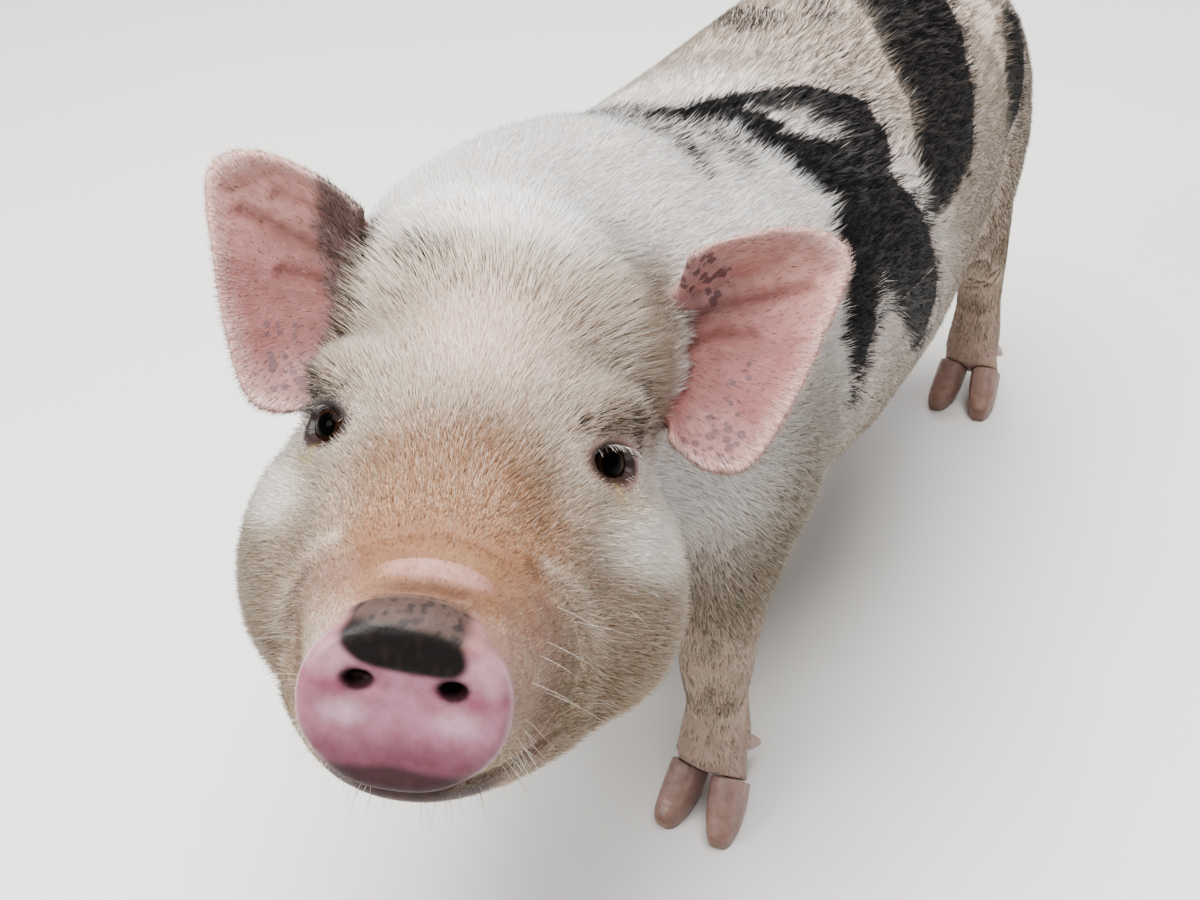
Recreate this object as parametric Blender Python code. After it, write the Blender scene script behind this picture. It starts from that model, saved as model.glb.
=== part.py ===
"""A young miniature pig at life size, standing square with its head raised and turned to its left.

The pig faces -Y with +Z up, and its left side is +X. Its flesh is one skin fused round simple
masses, then parted by thin cuts into head, neck, torso and legs. Body sizes are measured from the
point on the floor below the withers, and the finished pig is moved so that the origin lies on the
floor under its middle. Sizes are in metres and angles in degrees.
"""

import math

import bmesh
import bpy
import numpy as np
from mathutils import Matrix, Vector
from mathutils.bvhtree import BVHTree

# Where the rings of a rounded end stand, in degrees from its rim towards its pole.
DOME_ANGLES = (30.0, 60.0)

# The gap between two pieces that meet face to face, and the grain of the fused skin.
GAP = 0.0003
GRAIN = 0.002
SIDES = (("left", 1), ("right", -1))

# The torso from breast to rump: distance behind the withers, half width, top, bottom, squareness.
TORSO = (
    (-0.090, 0.050, 0.264, 0.150, 2.0),
    (-0.060, 0.072, 0.290, 0.130, 2.1),
    (-0.025, 0.084, 0.300, 0.121, 2.2),
    (0.025, 0.091, 0.298, 0.114, 2.3),
    (0.080, 0.096, 0.290, 0.108, 2.3),
    (0.145, 0.096, 0.286, 0.108, 2.3),
    (0.210, 0.090, 0.289, 0.116, 2.2),
    (0.270, 0.082, 0.290, 0.132, 2.1),
    (0.315, 0.067, 0.279, 0.154, 2.0),
    (0.345, 0.040, 0.256, 0.184, 2.0),
)
TORSO_DOME = 0.014

# Muscle masses on the left side, copied to the right: centre, half sizes, turn about X.
SHOULDER = ((0.058, -0.018, 0.200), (0.034, 0.054, 0.078), 10.0)
HAM = ((0.050, 0.276, 0.192), (0.038, 0.066, 0.084), -8.0)

# The legs on the left side, from the body down: x, y, z, half width, half depth, squareness.
FRONT_LEG = (
    (0.060, -0.020, 0.200, 0.030, 0.044, 2.0),
    (0.060, -0.028, 0.160, 0.0260, 0.036, 2.0),
    (0.057, -0.034, 0.125, 0.0215, 0.0265, 2.0),
    (0.055, -0.037, 0.092, 0.0185, 0.0215, 2.1),
    (0.054, -0.036, 0.062, 0.0155, 0.0175, 2.1),
    (0.054, -0.038, 0.044, 0.0165, 0.0185, 2.1),
    (0.054, -0.044, 0.031, 0.0165, 0.0165, 2.2),
)
HIND_LEG = (
    (0.052, 0.266, 0.200, 0.034, 0.058, 2.0),
    (0.056, 0.276, 0.160, 0.029, 0.045, 2.0),
    (0.058, 0.300, 0.125, 0.0220, 0.031, 2.0),
    (0.058, 0.325, 0.098, 0.0165, 0.0235, 2.1),
    (0.058, 0.329, 0.070, 0.0150, 0.0180, 2.1),
    (0.058, 0.328, 0.046, 0.0160, 0.0185, 2.1),
    (0.058, 0.322, 0.031, 0.0160, 0.0165, 2.2),
)

# Where each leg is parted from the body: a blunt round-topped column that holds the whole leg.
FRONT_CUT = (
    (0.072, -0.030, 0.150, 0.042, 0.046, 2.2),
    (0.064, -0.036, 0.100, 0.042, 0.050, 2.2),
    (0.056, -0.044, -0.010, 0.048, 0.062, 2.2),
)
HIND_CUT = (
    (0.072, 0.290, 0.165, 0.048, 0.060, 2.2),
    (0.064, 0.302, 0.110, 0.044, 0.062, 2.2),
    (0.058, 0.316, -0.010, 0.046, 0.066, 2.2),
)
CUT_DOME = 0.012

# The cloven feet. Each toe: its half width and height where the hoof begins, its splay and slope.
FRONT_FOOT = (0.055, -0.046, 0.0205)
HIND_FOOT = (0.060, 0.318, 0.0205)
TOE_SPACING = 0.0101
TOE_SPLAY = 9.0
TOE_SLOPE = 38.0
TOE = (0.0084, 0.0105)
FETLOCK = (0.012, 0.040)
HOOF_LIP = 0.0004

# Each hoof below its upper edge: distance ahead, height, half width, half height, squareness.
HOOF = (
    (0.0080, 0.0115, 0.0084, 0.0115, 2.6),
    (0.0150, 0.0065, 0.0075, 0.0098, 2.8),
    (0.0210, 0.0048, 0.0060, 0.0072, 2.8),
    (0.0240, 0.0042, 0.0044, 0.0056, 2.6),
)

# The dewclaws: how far aside, behind and above the foot's middle, their length and their radius.
DEWCLAW = (0.0105, 0.0195, 0.034)
DEWCLAW_LENGTH = 0.016
DEWCLAW_RADIUS = 0.0050

# The head: the point midway between the eyes, and its turns to the left, upward and sideways.
HEAD_CENTRE = (0.027, -0.154, 0.273)
HEAD_YAW = 31.0
HEAD_PITCH = 31.0
HEAD_ROLL = 12.0

# The skull and muzzle in the head's own frame: y, half width, top, bottom, squareness.
SKULL = (
    (-0.096, 0.0250, -0.035, -0.076, 2.2),
    (-0.085, 0.0270, -0.030, -0.080, 2.2),
    (-0.065, 0.0330, -0.021, -0.085, 2.3),
    (-0.040, 0.0410, -0.008, -0.088, 2.3),
    (-0.015, 0.0500, 0.008, -0.090, 2.3),
    (0.010, 0.0570, 0.026, -0.092, 2.2),
    (0.035, 0.0610, 0.043, -0.090, 2.1),
    (0.058, 0.0600, 0.055, -0.080, 2.0),
    (0.085, 0.0540, 0.060, -0.060, 2.0),
)
JAW = (
    (-0.088, 0.0170, -0.066, -0.087, 2.2),
    (-0.070, 0.0270, -0.064, -0.093, 2.2),
    (-0.040, 0.0400, -0.060, -0.098, 2.2),
    (-0.010, 0.0500, -0.050, -0.100, 2.2),
    (0.020, 0.0560, -0.040, -0.098, 2.2),
    (0.050, 0.0520, -0.030, -0.088, 2.0),
)
CHEEK = ((0.039, 0.030, -0.046), (0.034, 0.062, 0.045), 0.0)
NAPE = ((0.0, 0.100, 0.028), (0.050, 0.060, 0.040), -20.0)
BROW = ((0.037, 0.014, 0.013), (0.017, 0.020, 0.011), 0.0)

# The snout's disc in the head's frame, the pad on its upper edge, the dish in its face, the nostrils.
DISC = (
    (-0.0985, 0.0262, -0.0340, -0.0766, 2.2),
    (-0.1020, 0.0271, -0.0333, -0.0772, 2.2),
    (-0.1065, 0.0270, -0.0335, -0.0770, 2.2),
    (-0.1090, 0.0258, -0.0348, -0.0758, 2.2),
)
DISC_DOME = 0.0012
PAD = ((0.0, -0.1015, -0.0380), (0.0185, 0.0090, 0.0072), 0.0)
DISH = ((0.0, -0.1125, -0.0560), (0.0215, 0.0036, 0.0165), 0.0)
NOSTRIL = ((0.0118, -0.1100, -0.0500), (0.0047, 0.0085, 0.0030), 0.0)

# Each eye: the ball's centre and radius, the lids round it, and the opening between them.
EYE_CENTRE = (0.0405, 0.0050, -0.001)
EYE_RADIUS = 0.0095
EYE_LOOK = (0.54, -0.83, 0.14)
LID_RADIUS = 0.0122
EYE_OPENING = (0.0084, 0.0062)

# The mouth's line round the muzzle: its swing to each corner, its height in front and at the corners.
MOUTH_SWING = 112.0
MOUTH_CENTRE = -0.030
MOUTH_FRONT = -0.0805
MOUTH_CORNER = -0.0740
MOUTH_RADIUS = 0.0013

# Each ear: the deep point of its cup, its margin from lobe to upper root, and its thickness.
EAR_HOLLOW = (0.050, 0.068, 0.036)
EAR_MARGIN = (
    (0.056, 0.042, 0.006),
    (0.071, 0.040, -0.002),
    (0.085, 0.042, 0.001),
    (0.096, 0.047, 0.022),
    (0.105, 0.052, 0.050),
    (0.111, 0.056, 0.076),
    (0.098, 0.053, 0.085),
    (0.076, 0.047, 0.081),
    (0.054, 0.044, 0.070),
)
EAR_BOWL = 0.006
EAR_THICKNESS = 0.0036
EAR_SHIFT = {"left": 0.009, "right": 0.004}

# The neck from the chest to the skull, swung to the right behind the turned head.
NECK = (
    (0.000, 0.010, 0.212, 0.084, 0.088, 2.1),
    (-0.010, -0.035, 0.226, 0.078, 0.094, 2.1),
    (-0.012, -0.075, 0.242, 0.070, 0.086, 2.1),
    (0.000, -0.110, 0.256, 0.062, 0.070, 2.1),
)

# The planes that part the neck, the first in the head's frame: a point, then the turns about Z and X.
NECK_FRONT = ((0.0, 0.078, 0.0), 0.0, -4.0)
NECK_BACK = ((0.0, -0.045, 0.240), 16.0, -25.0)

# The tail hangs from the rump in a slack curve: x, y, z, half width, half depth, squareness.
TAIL = (
    (0.000, 0.342, 0.250, 0.0100, 0.0100, 2.0),
    (0.001, 0.360, 0.240, 0.0078, 0.0078, 2.0),
    (0.003, 0.371, 0.218, 0.0060, 0.0060, 2.0),
    (0.006, 0.374, 0.192, 0.0050, 0.0050, 2.0),
    (0.009, 0.372, 0.166, 0.0042, 0.0042, 2.0),
    (0.010, 0.369, 0.146, 0.0032, 0.0032, 2.0),
)

# How far the hollows between the masses are filled, and how little the round places wear down.
CREASE_STEPS = 110
CREASE_FILL = 0.6
CREASE_WEAR = 0.02

# Triangles of the fused flesh before its cuts, evenly spread and then with only the face kept fine.
EVEN_TRIANGLES = 15000
FLESH_TRIANGLES = 5400
FACE_CENTRE = (0.0, -0.030, -0.030)
FACE_REACH = (0.060, 0.110)

# Boxes that cut away all of the body, of the head or of a hoof's place on one side of a plane.
BODY_BOX = (0.5, 0.7, 0.5)
HEAD_BOX = (0.2, 0.1, 0.2)
TOE_BOX = (0.028, 0.040, 0.050)

# Each finish: its colour and its roughness. An edge sharper than the angle is drawn as an edge.
SHARP_ANGLE = 35.0
FINISHES = {
    "coat": ((0.80, 0.71, 0.63), 0.85),
    "ear_skin": ((0.78, 0.48, 0.44), 0.70),
    "snout_skin": ((0.62, 0.33, 0.38), 0.35),
    "eye": ((0.03, 0.015, 0.01), 0.08),
    "hoof_horn": ((0.72, 0.48, 0.40), 0.45),
}


def mesh_object(name, mesh):
    obj = bpy.data.objects.new(name, mesh)
    bpy.context.scene.collection.objects.link(obj)
    return obj


def object_from(name, bm):
    mesh = bpy.data.meshes.new(name)
    bm.to_mesh(mesh)
    bm.free()
    return mesh_object(name, mesh)


def smooth_rows(rows, steps):
    """Rows of numbers run through one smooth curve, read off at even steps."""
    rows = np.array(rows, float)
    padded = np.vstack([2 * rows[0] - rows[1], rows, 2 * rows[-1] - rows[-2]])
    out = []
    for place in np.linspace(0, len(rows) - 1, steps):
        i = min(int(place), len(rows) - 2)
        t = place - i
        a, b, c, d = padded[i : i + 4]
        cubic = (3 * b - a - 3 * c + d) * t**3
        out.append(0.5 * (2 * b + (c - a) * t + (2 * a - 5 * b + 4 * c - d) * t**2 + cubic))
    return np.array(out)


def tube(
    name, rows, sides=32, steps=36, domes=(0.01, 0.01), frame=Matrix(), floor=False, wide_axis="X"
):
    """A closed body round a path. A row holds its point, half width, half height and squareness."""
    reference = Vector([float(wide_axis == axis) for axis in "XYZ"])
    path = smooth_rows(rows, steps)
    centres = [Vector(row[:3]) for row in path]
    after = centres[1:] + centres[-1:]
    before = centres[:1] + centres[:-1]
    tangents = [(b - a).normalized() for a, b in zip(before, after)]
    sections = [(centres[i], i, 1.0) for i in range(steps)]
    for end, dome, outward in ((0, domes[0], -1), (steps - 1, domes[1], 1)):
        for angle in DOME_ANGLES if dome else ():
            angle = math.radians(angle)
            centre = centres[end] + tangents[end] * outward * dome * math.sin(angle)
            extra = (centre, end, math.cos(angle))
            sections = [extra] + sections if end == 0 else sections + [extra]
    bm = bmesh.new()
    rings = []
    for centre, i, scale in sections:
        side = (reference - tangents[i] * tangents[i].dot(reference)).normalized()
        up = side.cross(tangents[i])
        ring = []
        for k in range(sides):
            c, s = math.cos(2 * math.pi * k / sides), math.sin(2 * math.pi * k / sides)
            power = 2 / path[i][5]
            across = math.copysign(abs(c) ** power, c) * path[i][3] * scale
            rise = math.copysign(abs(s) ** power, s) * path[i][4] * scale
            point = centre + side * across + up * rise
            if floor:
                point.z = max(point.z, 0.0)
            ring.append(bm.verts.new(frame @ point))
        rings.append(ring)
    for ring, following in zip(rings, rings[1:]):
        for k in range(sides):
            bm.faces.new((ring[k], ring[(k + 1) % sides], following[(k + 1) % sides], following[k]))
    bm.faces.new(rings[0])
    bm.faces.new(rings[-1])
    bmesh.ops.recalc_face_normals(bm, faces=bm.faces)
    return object_from(name, bm)


def profile(rows):
    """Rows of y, half width, top, bottom and squareness as the rows of a tube that runs along Y."""
    return [
        (0.0, y, (top + bottom) / 2, wide, (top - bottom) / 2, power)
        for y, wide, top, bottom, power in rows
    ]


def ball(name, centre, radii, turn=0.0, frame=Matrix(), fineness=4):
    bm = bmesh.new()
    bmesh.ops.create_icosphere(bm, subdivisions=fineness, radius=1.0)
    place = frame @ Matrix.Translation(centre) @ Matrix.Rotation(math.radians(turn), 4, "X")
    bm.transform(place @ Matrix.Diagonal((*radii, 1.0)))
    return object_from(name, bm)


def block(name, frame, size):
    """A box whose -Y face stands at the frame's origin and which reaches along +Y."""
    bm = bmesh.new()
    bmesh.ops.create_cube(bm, size=1.0)
    bm.transform(frame @ Matrix.Translation((0, size[1] / 2, 0)) @ Matrix.Diagonal((*size, 1.0)))
    return object_from(name, bm)


def pair(name, mass, frame=Matrix(), fineness=4):
    """A mass on the left side and its mirror image on the right."""
    (x, y, z), radii, turn = mass
    return [ball(name, (side * x, y, z), radii, turn, frame, fineness) for _, side in SIDES]


def mirrored(rows, side):
    return [(side * row[0], *row[1:]) for row in rows]


def applied(obj):
    """The object with its modifiers made part of its mesh."""
    graph = bpy.context.evaluated_depsgraph_get()
    mesh = bpy.data.meshes.new_from_object(obj.evaluated_get(graph))
    obj.modifiers.clear()
    obj.data = mesh
    return obj


def copy_of(obj, name, inflate=0.0):
    """A copy of an object, its surface moved outward by a distance."""
    mesh = obj.data.copy()
    if inflate:
        normals = [vertex.normal.copy() for vertex in mesh.vertices]
        for vertex, normal in zip(mesh.vertices, normals):
            vertex.co += normal * inflate
    return mesh_object(name, mesh)


def largest(obj):
    """Keeps only the largest closed surface."""
    bm = bmesh.new()
    bm.from_mesh(obj.data)
    left = set(bm.verts)
    pieces = []
    while left:
        stack = [left.pop()]
        piece = set(stack)
        while stack:
            for edge in stack.pop().link_edges:
                for vertex in edge.verts:
                    if vertex in left:
                        left.remove(vertex)
                        piece.add(vertex)
                        stack.append(vertex)
        pieces.append(piece)
    pieces.sort(key=len)
    for piece in pieces[:-1]:
        bmesh.ops.delete(bm, geom=list(piece), context="VERTS")
    bm.to_mesh(obj.data)
    bm.free()
    return obj


def boolean(obj, cutter, operation="DIFFERENCE"):
    change = obj.modifiers.new("cut", "BOOLEAN")
    change.operation = operation
    change.object = cutter
    applied(obj)
    bpy.data.objects.remove(cutter)
    return largest(obj)


def join(name, objects):
    bm = bmesh.new()
    for obj in objects:
        bm.from_mesh(obj.data)
        bpy.data.objects.remove(obj)
    return object_from(name, bm)


def fuse(name, objects):
    """One closed skin round overlapping bodies."""
    obj = join(name, objects)
    remesh = obj.modifiers.new("fuse", "REMESH")
    remesh.mode = "VOXEL"
    remesh.voxel_size = GRAIN
    return applied(obj)


def fill_creases(obj, steps, fill, wear):
    """Raises hollows by one share and lowers round places by a smaller one, as flesh fills a fold."""
    mesh = obj.data
    count = len(mesh.vertices)
    ends = np.empty(len(mesh.edges) * 2, np.int32)
    mesh.edges.foreach_get("vertices", ends)
    ends = ends.reshape(-1, 2)
    one, two = np.concatenate([ends, ends[:, ::-1]]).T
    degree = np.bincount(one, minlength=count)[:, None]
    points = np.empty(count * 3)
    mesh.vertices.foreach_get("co", points)
    points = points.reshape(-1, 3)
    normals = np.empty(count * 3, np.float32)
    for step in range(steps):
        mesh.vertices.foreach_get("normal", normals)
        outward = normals.reshape(-1, 3)
        mean = np.stack([np.bincount(one, points[two, k], count) for k in range(3)], axis=1) / degree
        pull = mean - points
        lift = (pull * outward).sum(axis=1, keepdims=True)
        slide = pull - outward * lift
        points = points + slide * 0.5 + outward * np.where(lift > 0, lift * fill, lift * wear)
        mesh.vertices.foreach_set("co", points.ravel())
        mesh.update()
    return obj


def thin(obj, triangles, group=""):
    """Fewer, larger triangles, with a vertex group only where that group is strong."""
    obj.data.calc_loop_triangles()
    reduce = obj.modifiers.new("thin", "DECIMATE")
    reduce.ratio = triangles / len(obj.data.loop_triangles)
    reduce.use_collapse_triangulate = True
    reduce.vertex_group = group
    reduce.vertex_group_factor = 1.0
    return applied(obj)


def thin_flesh(flesh, face_centre):
    thin(flesh, EVEN_TRIANGLES)
    coarse = flesh.vertex_groups.new(name="coarse")
    near, far = FACE_REACH
    for vertex in flesh.data.vertices:
        weight = ((vertex.co - face_centre).length - near) / (far - near)
        coarse.add([vertex.index], min(1.0, max(0.0, weight)), "REPLACE")
    thin(flesh, FLESH_TRIANGLES, "coarse")
    flesh.vertex_groups.clear()


def head_frame():
    turn = (
        Matrix.Rotation(math.radians(HEAD_YAW), 4, "Z")
        @ Matrix.Rotation(math.radians(-HEAD_PITCH), 4, "X")
        @ Matrix.Rotation(math.radians(HEAD_ROLL), 4, "Y")
    )
    return Matrix.Translation(HEAD_CENTRE) @ turn


def facing(direction):
    """A turn that brings -Y to a direction, keeping Z as upright as it can."""
    back = -Vector(direction).normalized()
    side = back.cross(Vector((0, 0, 1))).normalized()
    return Matrix((side, back, side.cross(back))).transposed().to_4x4()


def toes(foot):
    """The frames of the two toes: the middle of each hoof's upper edge, facing along the hoof."""
    frames = []
    for name, inward in (("outer", 1), ("inner", -1)):
        spread = inward * math.copysign(1, foot[0])
        splay = math.radians(TOE_SPLAY) * spread
        slope = math.radians(TOE_SLOPE)
        level = math.cos(slope)
        ahead = (math.sin(splay) * level, -math.cos(splay) * level, -math.sin(slope))
        centre = Vector(foot) + Vector((spread * TOE_SPACING, 0, 0))
        frames.append((name, Matrix.Translation(centre) @ facing(ahead)))
    return frames


def toe_flesh(foot):
    """The two toes from the fetlock down to just past the hooves' edges."""
    made = []
    for _, frame in toes(foot):
        end = frame @ Vector((0, -0.003, 0))
        start = Vector((foot[0], foot[1] + FETLOCK[0], FETLOCK[1]))
        rows = [
            (*start.lerp(end, t), TOE[0] * (1.1 - 0.1 * t), TOE[1], 2.2) for t in (0.0, 0.5, 1.0)
        ]
        made.append(tube("toe_mass", rows, sides=20, steps=8, domes=(0.003, 0.001)))
    return made


def plane_frame(point, turn, tilt, frame=Matrix()):
    """A frame at a cut, with +Y pointing back across it."""
    turns = Matrix.Rotation(math.radians(turn), 4, "Z") @ Matrix.Rotation(math.radians(tilt), 4, "X")
    return frame @ Matrix.Translation(point) @ turns


def cut_toes(leg, foot):
    """Ends a leg's toes at the hooves' upper edges."""
    half_turn = Matrix.Rotation(math.pi, 4, "Z")
    for _, frame in toes(foot):
        boolean(leg, block("hoof_space", frame @ half_turn, TOE_BOX))


def hooves(limb, foot):
    """Two hooves with flat soles. Each begins just below its toe's cut."""
    made = []
    for name, frame in toes(foot):
        ahead = (frame @ Vector((0, -1, 0)) - frame.translation).normalized()
        start = frame @ Vector((0, -GAP, 0))
        level = Vector((ahead.x, ahead.y, 0)).normalized()
        edge = (TOE[0] + HOOF_LIP, TOE[1] + HOOF_LIP, 2.3)
        rows = [(*start, *edge), (*(start + ahead * 0.003), *edge)]
        for distance, height, *section in HOOF:
            place = start + level * distance
            rows.append((place.x, place.y, height, *section))
        steps = len(rows)
        made.append(tube(f"hoof_{limb}_{name}", rows, 14, steps, domes=(0, 0.0016), floor=True))
    return made


def dewclaws(limb, foot, leg):
    """The two small claws behind a foot, their roots cut to the leg that they grow from."""
    made = []
    for name, outward in (("outer", 1), ("inner", -1)):
        spread = outward * math.copysign(1, foot[0])
        aside, behind, high = DEWCLAW
        root = Vector((foot[0] + spread * aside * 0.6, foot[1] + behind - 0.010, high))
        tip = Vector((foot[0] + spread * aside, foot[1] + behind + 0.008, high - DEWCLAW_LENGTH))
        rows = [
            (*root.lerp(tip, t), DEWCLAW_RADIUS * width, DEWCLAW_RADIUS * width, 2.0)
            for t, width in ((0.0, 1.0), (0.55, 0.9), (1.0, 0.45))
        ]
        claw = tube(f"dewclaw_{limb}_{name}", rows, sides=8, steps=4, domes=(0, 0.0015))
        made.append(boolean(claw, copy_of(leg, "leg_root", GAP)))
    return made


def ear(name, side, frame, flesh):
    """A cupped ear: a fan from the deep point of its cup to its margin, given its thickness."""
    margin = smooth_rows(EAR_MARGIN, 19)
    hollow = Vector(EAR_HOLLOW)
    steps = 6
    bm = bmesh.new()
    centre = bm.verts.new(hollow)
    lines = []
    for point in margin:
        line = []
        for k in range(1, steps + 1):
            reach = k / steps
            place = hollow.lerp(Vector(point), reach)
            place.y += EAR_BOWL * math.sin(math.pi * reach)
            line.append(bm.verts.new(place))
        lines.append(line)
    for line, following in zip(lines, lines[1:]):
        bm.faces.new((centre, line[0], following[0]))
        for k in range(steps - 1):
            bm.faces.new((line[k], line[k + 1], following[k + 1], following[k]))
    shift = Matrix.Translation((EAR_SHIFT[name], 0, 0)) @ Matrix.Diagonal((side, 1, 1, 1))
    bmesh.ops.transform(bm, matrix=frame @ shift, verts=bm.verts)
    bmesh.ops.recalc_face_normals(bm, faces=bm.faces)
    obj = object_from(f"ear_{name}", bm)
    wall = obj.modifiers.new("wall", "SOLIDIFY")
    wall.thickness = EAR_THICKNESS
    wall.offset = 0.0
    rim = obj.modifiers.new("rim", "BEVEL")
    rim.width = EAR_THICKNESS * 0.3
    rim.segments = 1
    rim.limit_method = "ANGLE"
    rim.angle_limit = math.radians(60)
    applied(obj)
    return boolean(obj, copy_of(flesh, "ear_root", GAP))


def snout_disc(frame):
    disc = tube("snout_disc", profile(DISC), sides=28, steps=5, domes=(0, DISC_DOME), frame=frame)
    boolean(disc, ball("pad", *PAD, frame=frame, fineness=3), "UNION")
    back = plane_frame((0, DISC[0][0], 0), 0, 0, frame)
    boolean(disc, block("disc_back", back, HEAD_BOX))
    boolean(disc, ball("dish", *DISH, frame=frame, fineness=2))
    for nostril in pair("nostril", NOSTRIL, frame, 2):
        boolean(disc, nostril)
    return disc


def eye_frame(side, frame):
    look = (side * EYE_LOOK[0], EYE_LOOK[1], EYE_LOOK[2])
    centre = (side * EYE_CENTRE[0], EYE_CENTRE[1], EYE_CENTRE[2])
    return frame @ Matrix.Translation(centre) @ facing(look)


def open_eye(head, side, frame):
    """The eye's socket, and the almond-shaped opening between its lids."""
    place = eye_frame(side, frame)
    wide, high = EYE_OPENING
    rows = [
        (0.0, -LID_RADIUS * depth, 0.0, wide * spread, high * spread, 1.7)
        for depth, spread in ((0.2, 0.7), (0.7, 0.9), (1.0, 1.05), (1.6, 1.3))
    ]
    boolean(head, tube("lid_opening", rows, sides=20, steps=5, domes=(0, 0), frame=place))
    boolean(head, ball("socket", (0, 0, 0), (EYE_RADIUS + GAP,) * 3, frame=place, fineness=3))


def mouth_groove(head, frame):
    """A fine round groove that follows the muzzle's surface from corner to corner."""
    points = [vertex.co.copy() for vertex in head.data.vertices]
    tree = BVHTree.FromPolygons(points, [tuple(face.vertices) for face in head.data.polygons])
    steps = 20
    rows = []
    for k in range(-steps, steps + 1):
        swing = math.radians(MOUTH_SWING) * k / steps
        height = MOUTH_FRONT + (MOUTH_CORNER - MOUTH_FRONT) * (k / steps) ** 2
        outward = Vector((math.sin(swing), -math.cos(swing), 0))
        start = frame @ (Vector((0, MOUTH_CENTRE, height)) + outward * 0.2)
        hit = tree.ray_cast(start, -(frame.to_3x3() @ outward))[0]
        radius = MOUTH_RADIUS * min(1.0, 0.25 + 3.0 * (1 - abs(k) / steps))
        rows.append((*(frame.inverted() @ hit), radius, radius, 2.0))
    boolean(head, tube("mouth_line", rows, sides=6, steps=40, domes=(0, 0), frame=frame, wide_axis="Z"))


def material(name):
    colour, roughness = FINISHES[name]
    finish = bpy.data.materials.new(name)
    finish.use_nodes = True
    shader = finish.node_tree.nodes["Principled BSDF"]
    shader.inputs["Base Color"].default_value = (*colour, 1.0)
    shader.inputs["Roughness"].default_value = roughness
    return finish


def finish(obj, name):
    obj.data.materials.clear()
    obj.data.materials.append(bpy.data.materials.get(name) or material(name))
    obj.data.shade_smooth()
    obj.data.set_sharp_from_angle(angle=math.radians(SHARP_ANGLE))


def fused_flesh(head_place):
    """The whole body's flesh as one skin, before it is parted."""
    masses = [tube("torso_mass", profile(TORSO), sides=48, domes=(TORSO_DOME, TORSO_DOME))]
    masses += pair("shoulder_mass", SHOULDER) + pair("ham_mass", HAM)
    for _, side in SIDES:
        for rows, foot in ((FRONT_LEG, FRONT_FOOT), (HIND_LEG, HIND_FOOT)):
            masses.append(tube("leg_mass", mirrored(rows, side), domes=(0.01, 0.004)))
            masses += toe_flesh((side * foot[0], *foot[1:]))
        masses.append(ball("lid_mass", (0, 0, 0), (LID_RADIUS,) * 3, frame=eye_frame(side, head_place)))
    masses.append(tube("neck_mass", NECK, sides=40))
    masses.append(ball("nape_mass", *NAPE, frame=head_place))
    masses.append(tube("skull_mass", profile(SKULL), domes=(0.004, 0.01), frame=head_place))
    masses.append(tube("jaw_mass", profile(JAW), domes=(0.004, 0.01), frame=head_place))
    masses += pair("cheek_mass", CHEEK, head_place) + pair("brow_mass", BROW, head_place)
    flesh = fuse("flesh", masses)
    fill_creases(flesh, CREASE_STEPS, CREASE_FILL, CREASE_WEAR)
    thin_flesh(flesh, head_place @ Vector(FACE_CENTRE))
    return flesh


def part_legs(flesh):
    """Takes the four legs off the flesh, each with its hooves and dewclaws."""
    horn = []
    legs = []
    for side_name, side in SIDES:
        for end, foot, rows in (("front", FRONT_FOOT, FRONT_CUT), ("hind", HIND_FOOT, HIND_CUT)):
            limb = f"{end}_{side_name}"
            place = (side * foot[0], *foot[1:])
            rows = mirrored(rows, side)[::-1]
            wider = [(*row[:3], row[3] + GAP, row[4] + GAP, row[5]) for row in rows]
            leg = copy_of(flesh, f"leg_{limb}")
            boolean(leg, tube("leg_space", rows, steps=9, domes=(0, CUT_DOME)), "INTERSECT")
            boolean(flesh, tube("leg_space", wider, steps=9, domes=(0, CUT_DOME + GAP)))
            cut_toes(leg, place)
            horn += hooves(limb, place) + dewclaws(limb, place, leg)
            legs.append(leg)
    return legs, horn


def part_neck(flesh, head_place):
    """Parts the rest into head, neck and torso by two planes."""
    half_turn = Matrix.Rotation(math.pi, 4, "Z")
    front = plane_frame(*NECK_FRONT, head_place)
    back = plane_frame(*NECK_BACK)
    head = boolean(copy_of(flesh, "head"), block("behind_head", front, BODY_BOX))
    neck = copy_of(flesh, "neck")
    boolean(neck, block("before_neck", front @ Matrix.Translation((0, GAP, 0)) @ half_turn, BODY_BOX))
    boolean(neck, block("behind_neck", back, BODY_BOX))
    torso = copy_of(flesh, "torso")
    boolean(torso, block("before_torso", back @ Matrix.Translation((0, GAP, 0)) @ half_turn, BODY_BOX))
    return head, neck, torso


def main():
    for obj in list(bpy.data.objects):
        bpy.data.objects.remove(obj)
    place = head_frame()
    flesh = fused_flesh(place)
    ears = [ear(name, side, place, flesh) for name, side in SIDES]
    legs, horn = part_legs(flesh)
    head, neck, torso = part_neck(flesh, place)
    bpy.data.objects.remove(flesh)
    muzzle_end = plane_frame((0, DISC[0][0] + GAP, 0), 180, 0, place)
    boolean(head, block("before_muzzle", muzzle_end, HEAD_BOX))
    mouth_groove(head, place)
    eyes = []
    for name, side in SIDES:
        open_eye(head, side, place)
        looking = eye_frame(side, place)
        eyes.append(ball(f"eye_{name}", (0, 0, 0), (EYE_RADIUS,) * 3, frame=looking, fineness=3))
    tail = tube("tail", TAIL, sides=10, steps=12)
    boolean(tail, copy_of(torso, "tail_root", GAP))
    for name, objects in (
        ("coat", [head, neck, torso, tail, *legs]),
        ("ear_skin", ears),
        ("snout_skin", [snout_disc(place)]),
        ("eye", eyes),
        ("hoof_horn", horn),
    ):
        for obj in objects:
            finish(obj, name)
    corners = np.array([vertex.co for obj in bpy.data.objects for vertex in obj.data.vertices])
    middle = (corners.min(axis=0) + corners.max(axis=0)) / 2
    for obj in bpy.data.objects:
        obj.data.transform(Matrix.Translation((-middle[0], -middle[1], 0)))


main()
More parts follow.
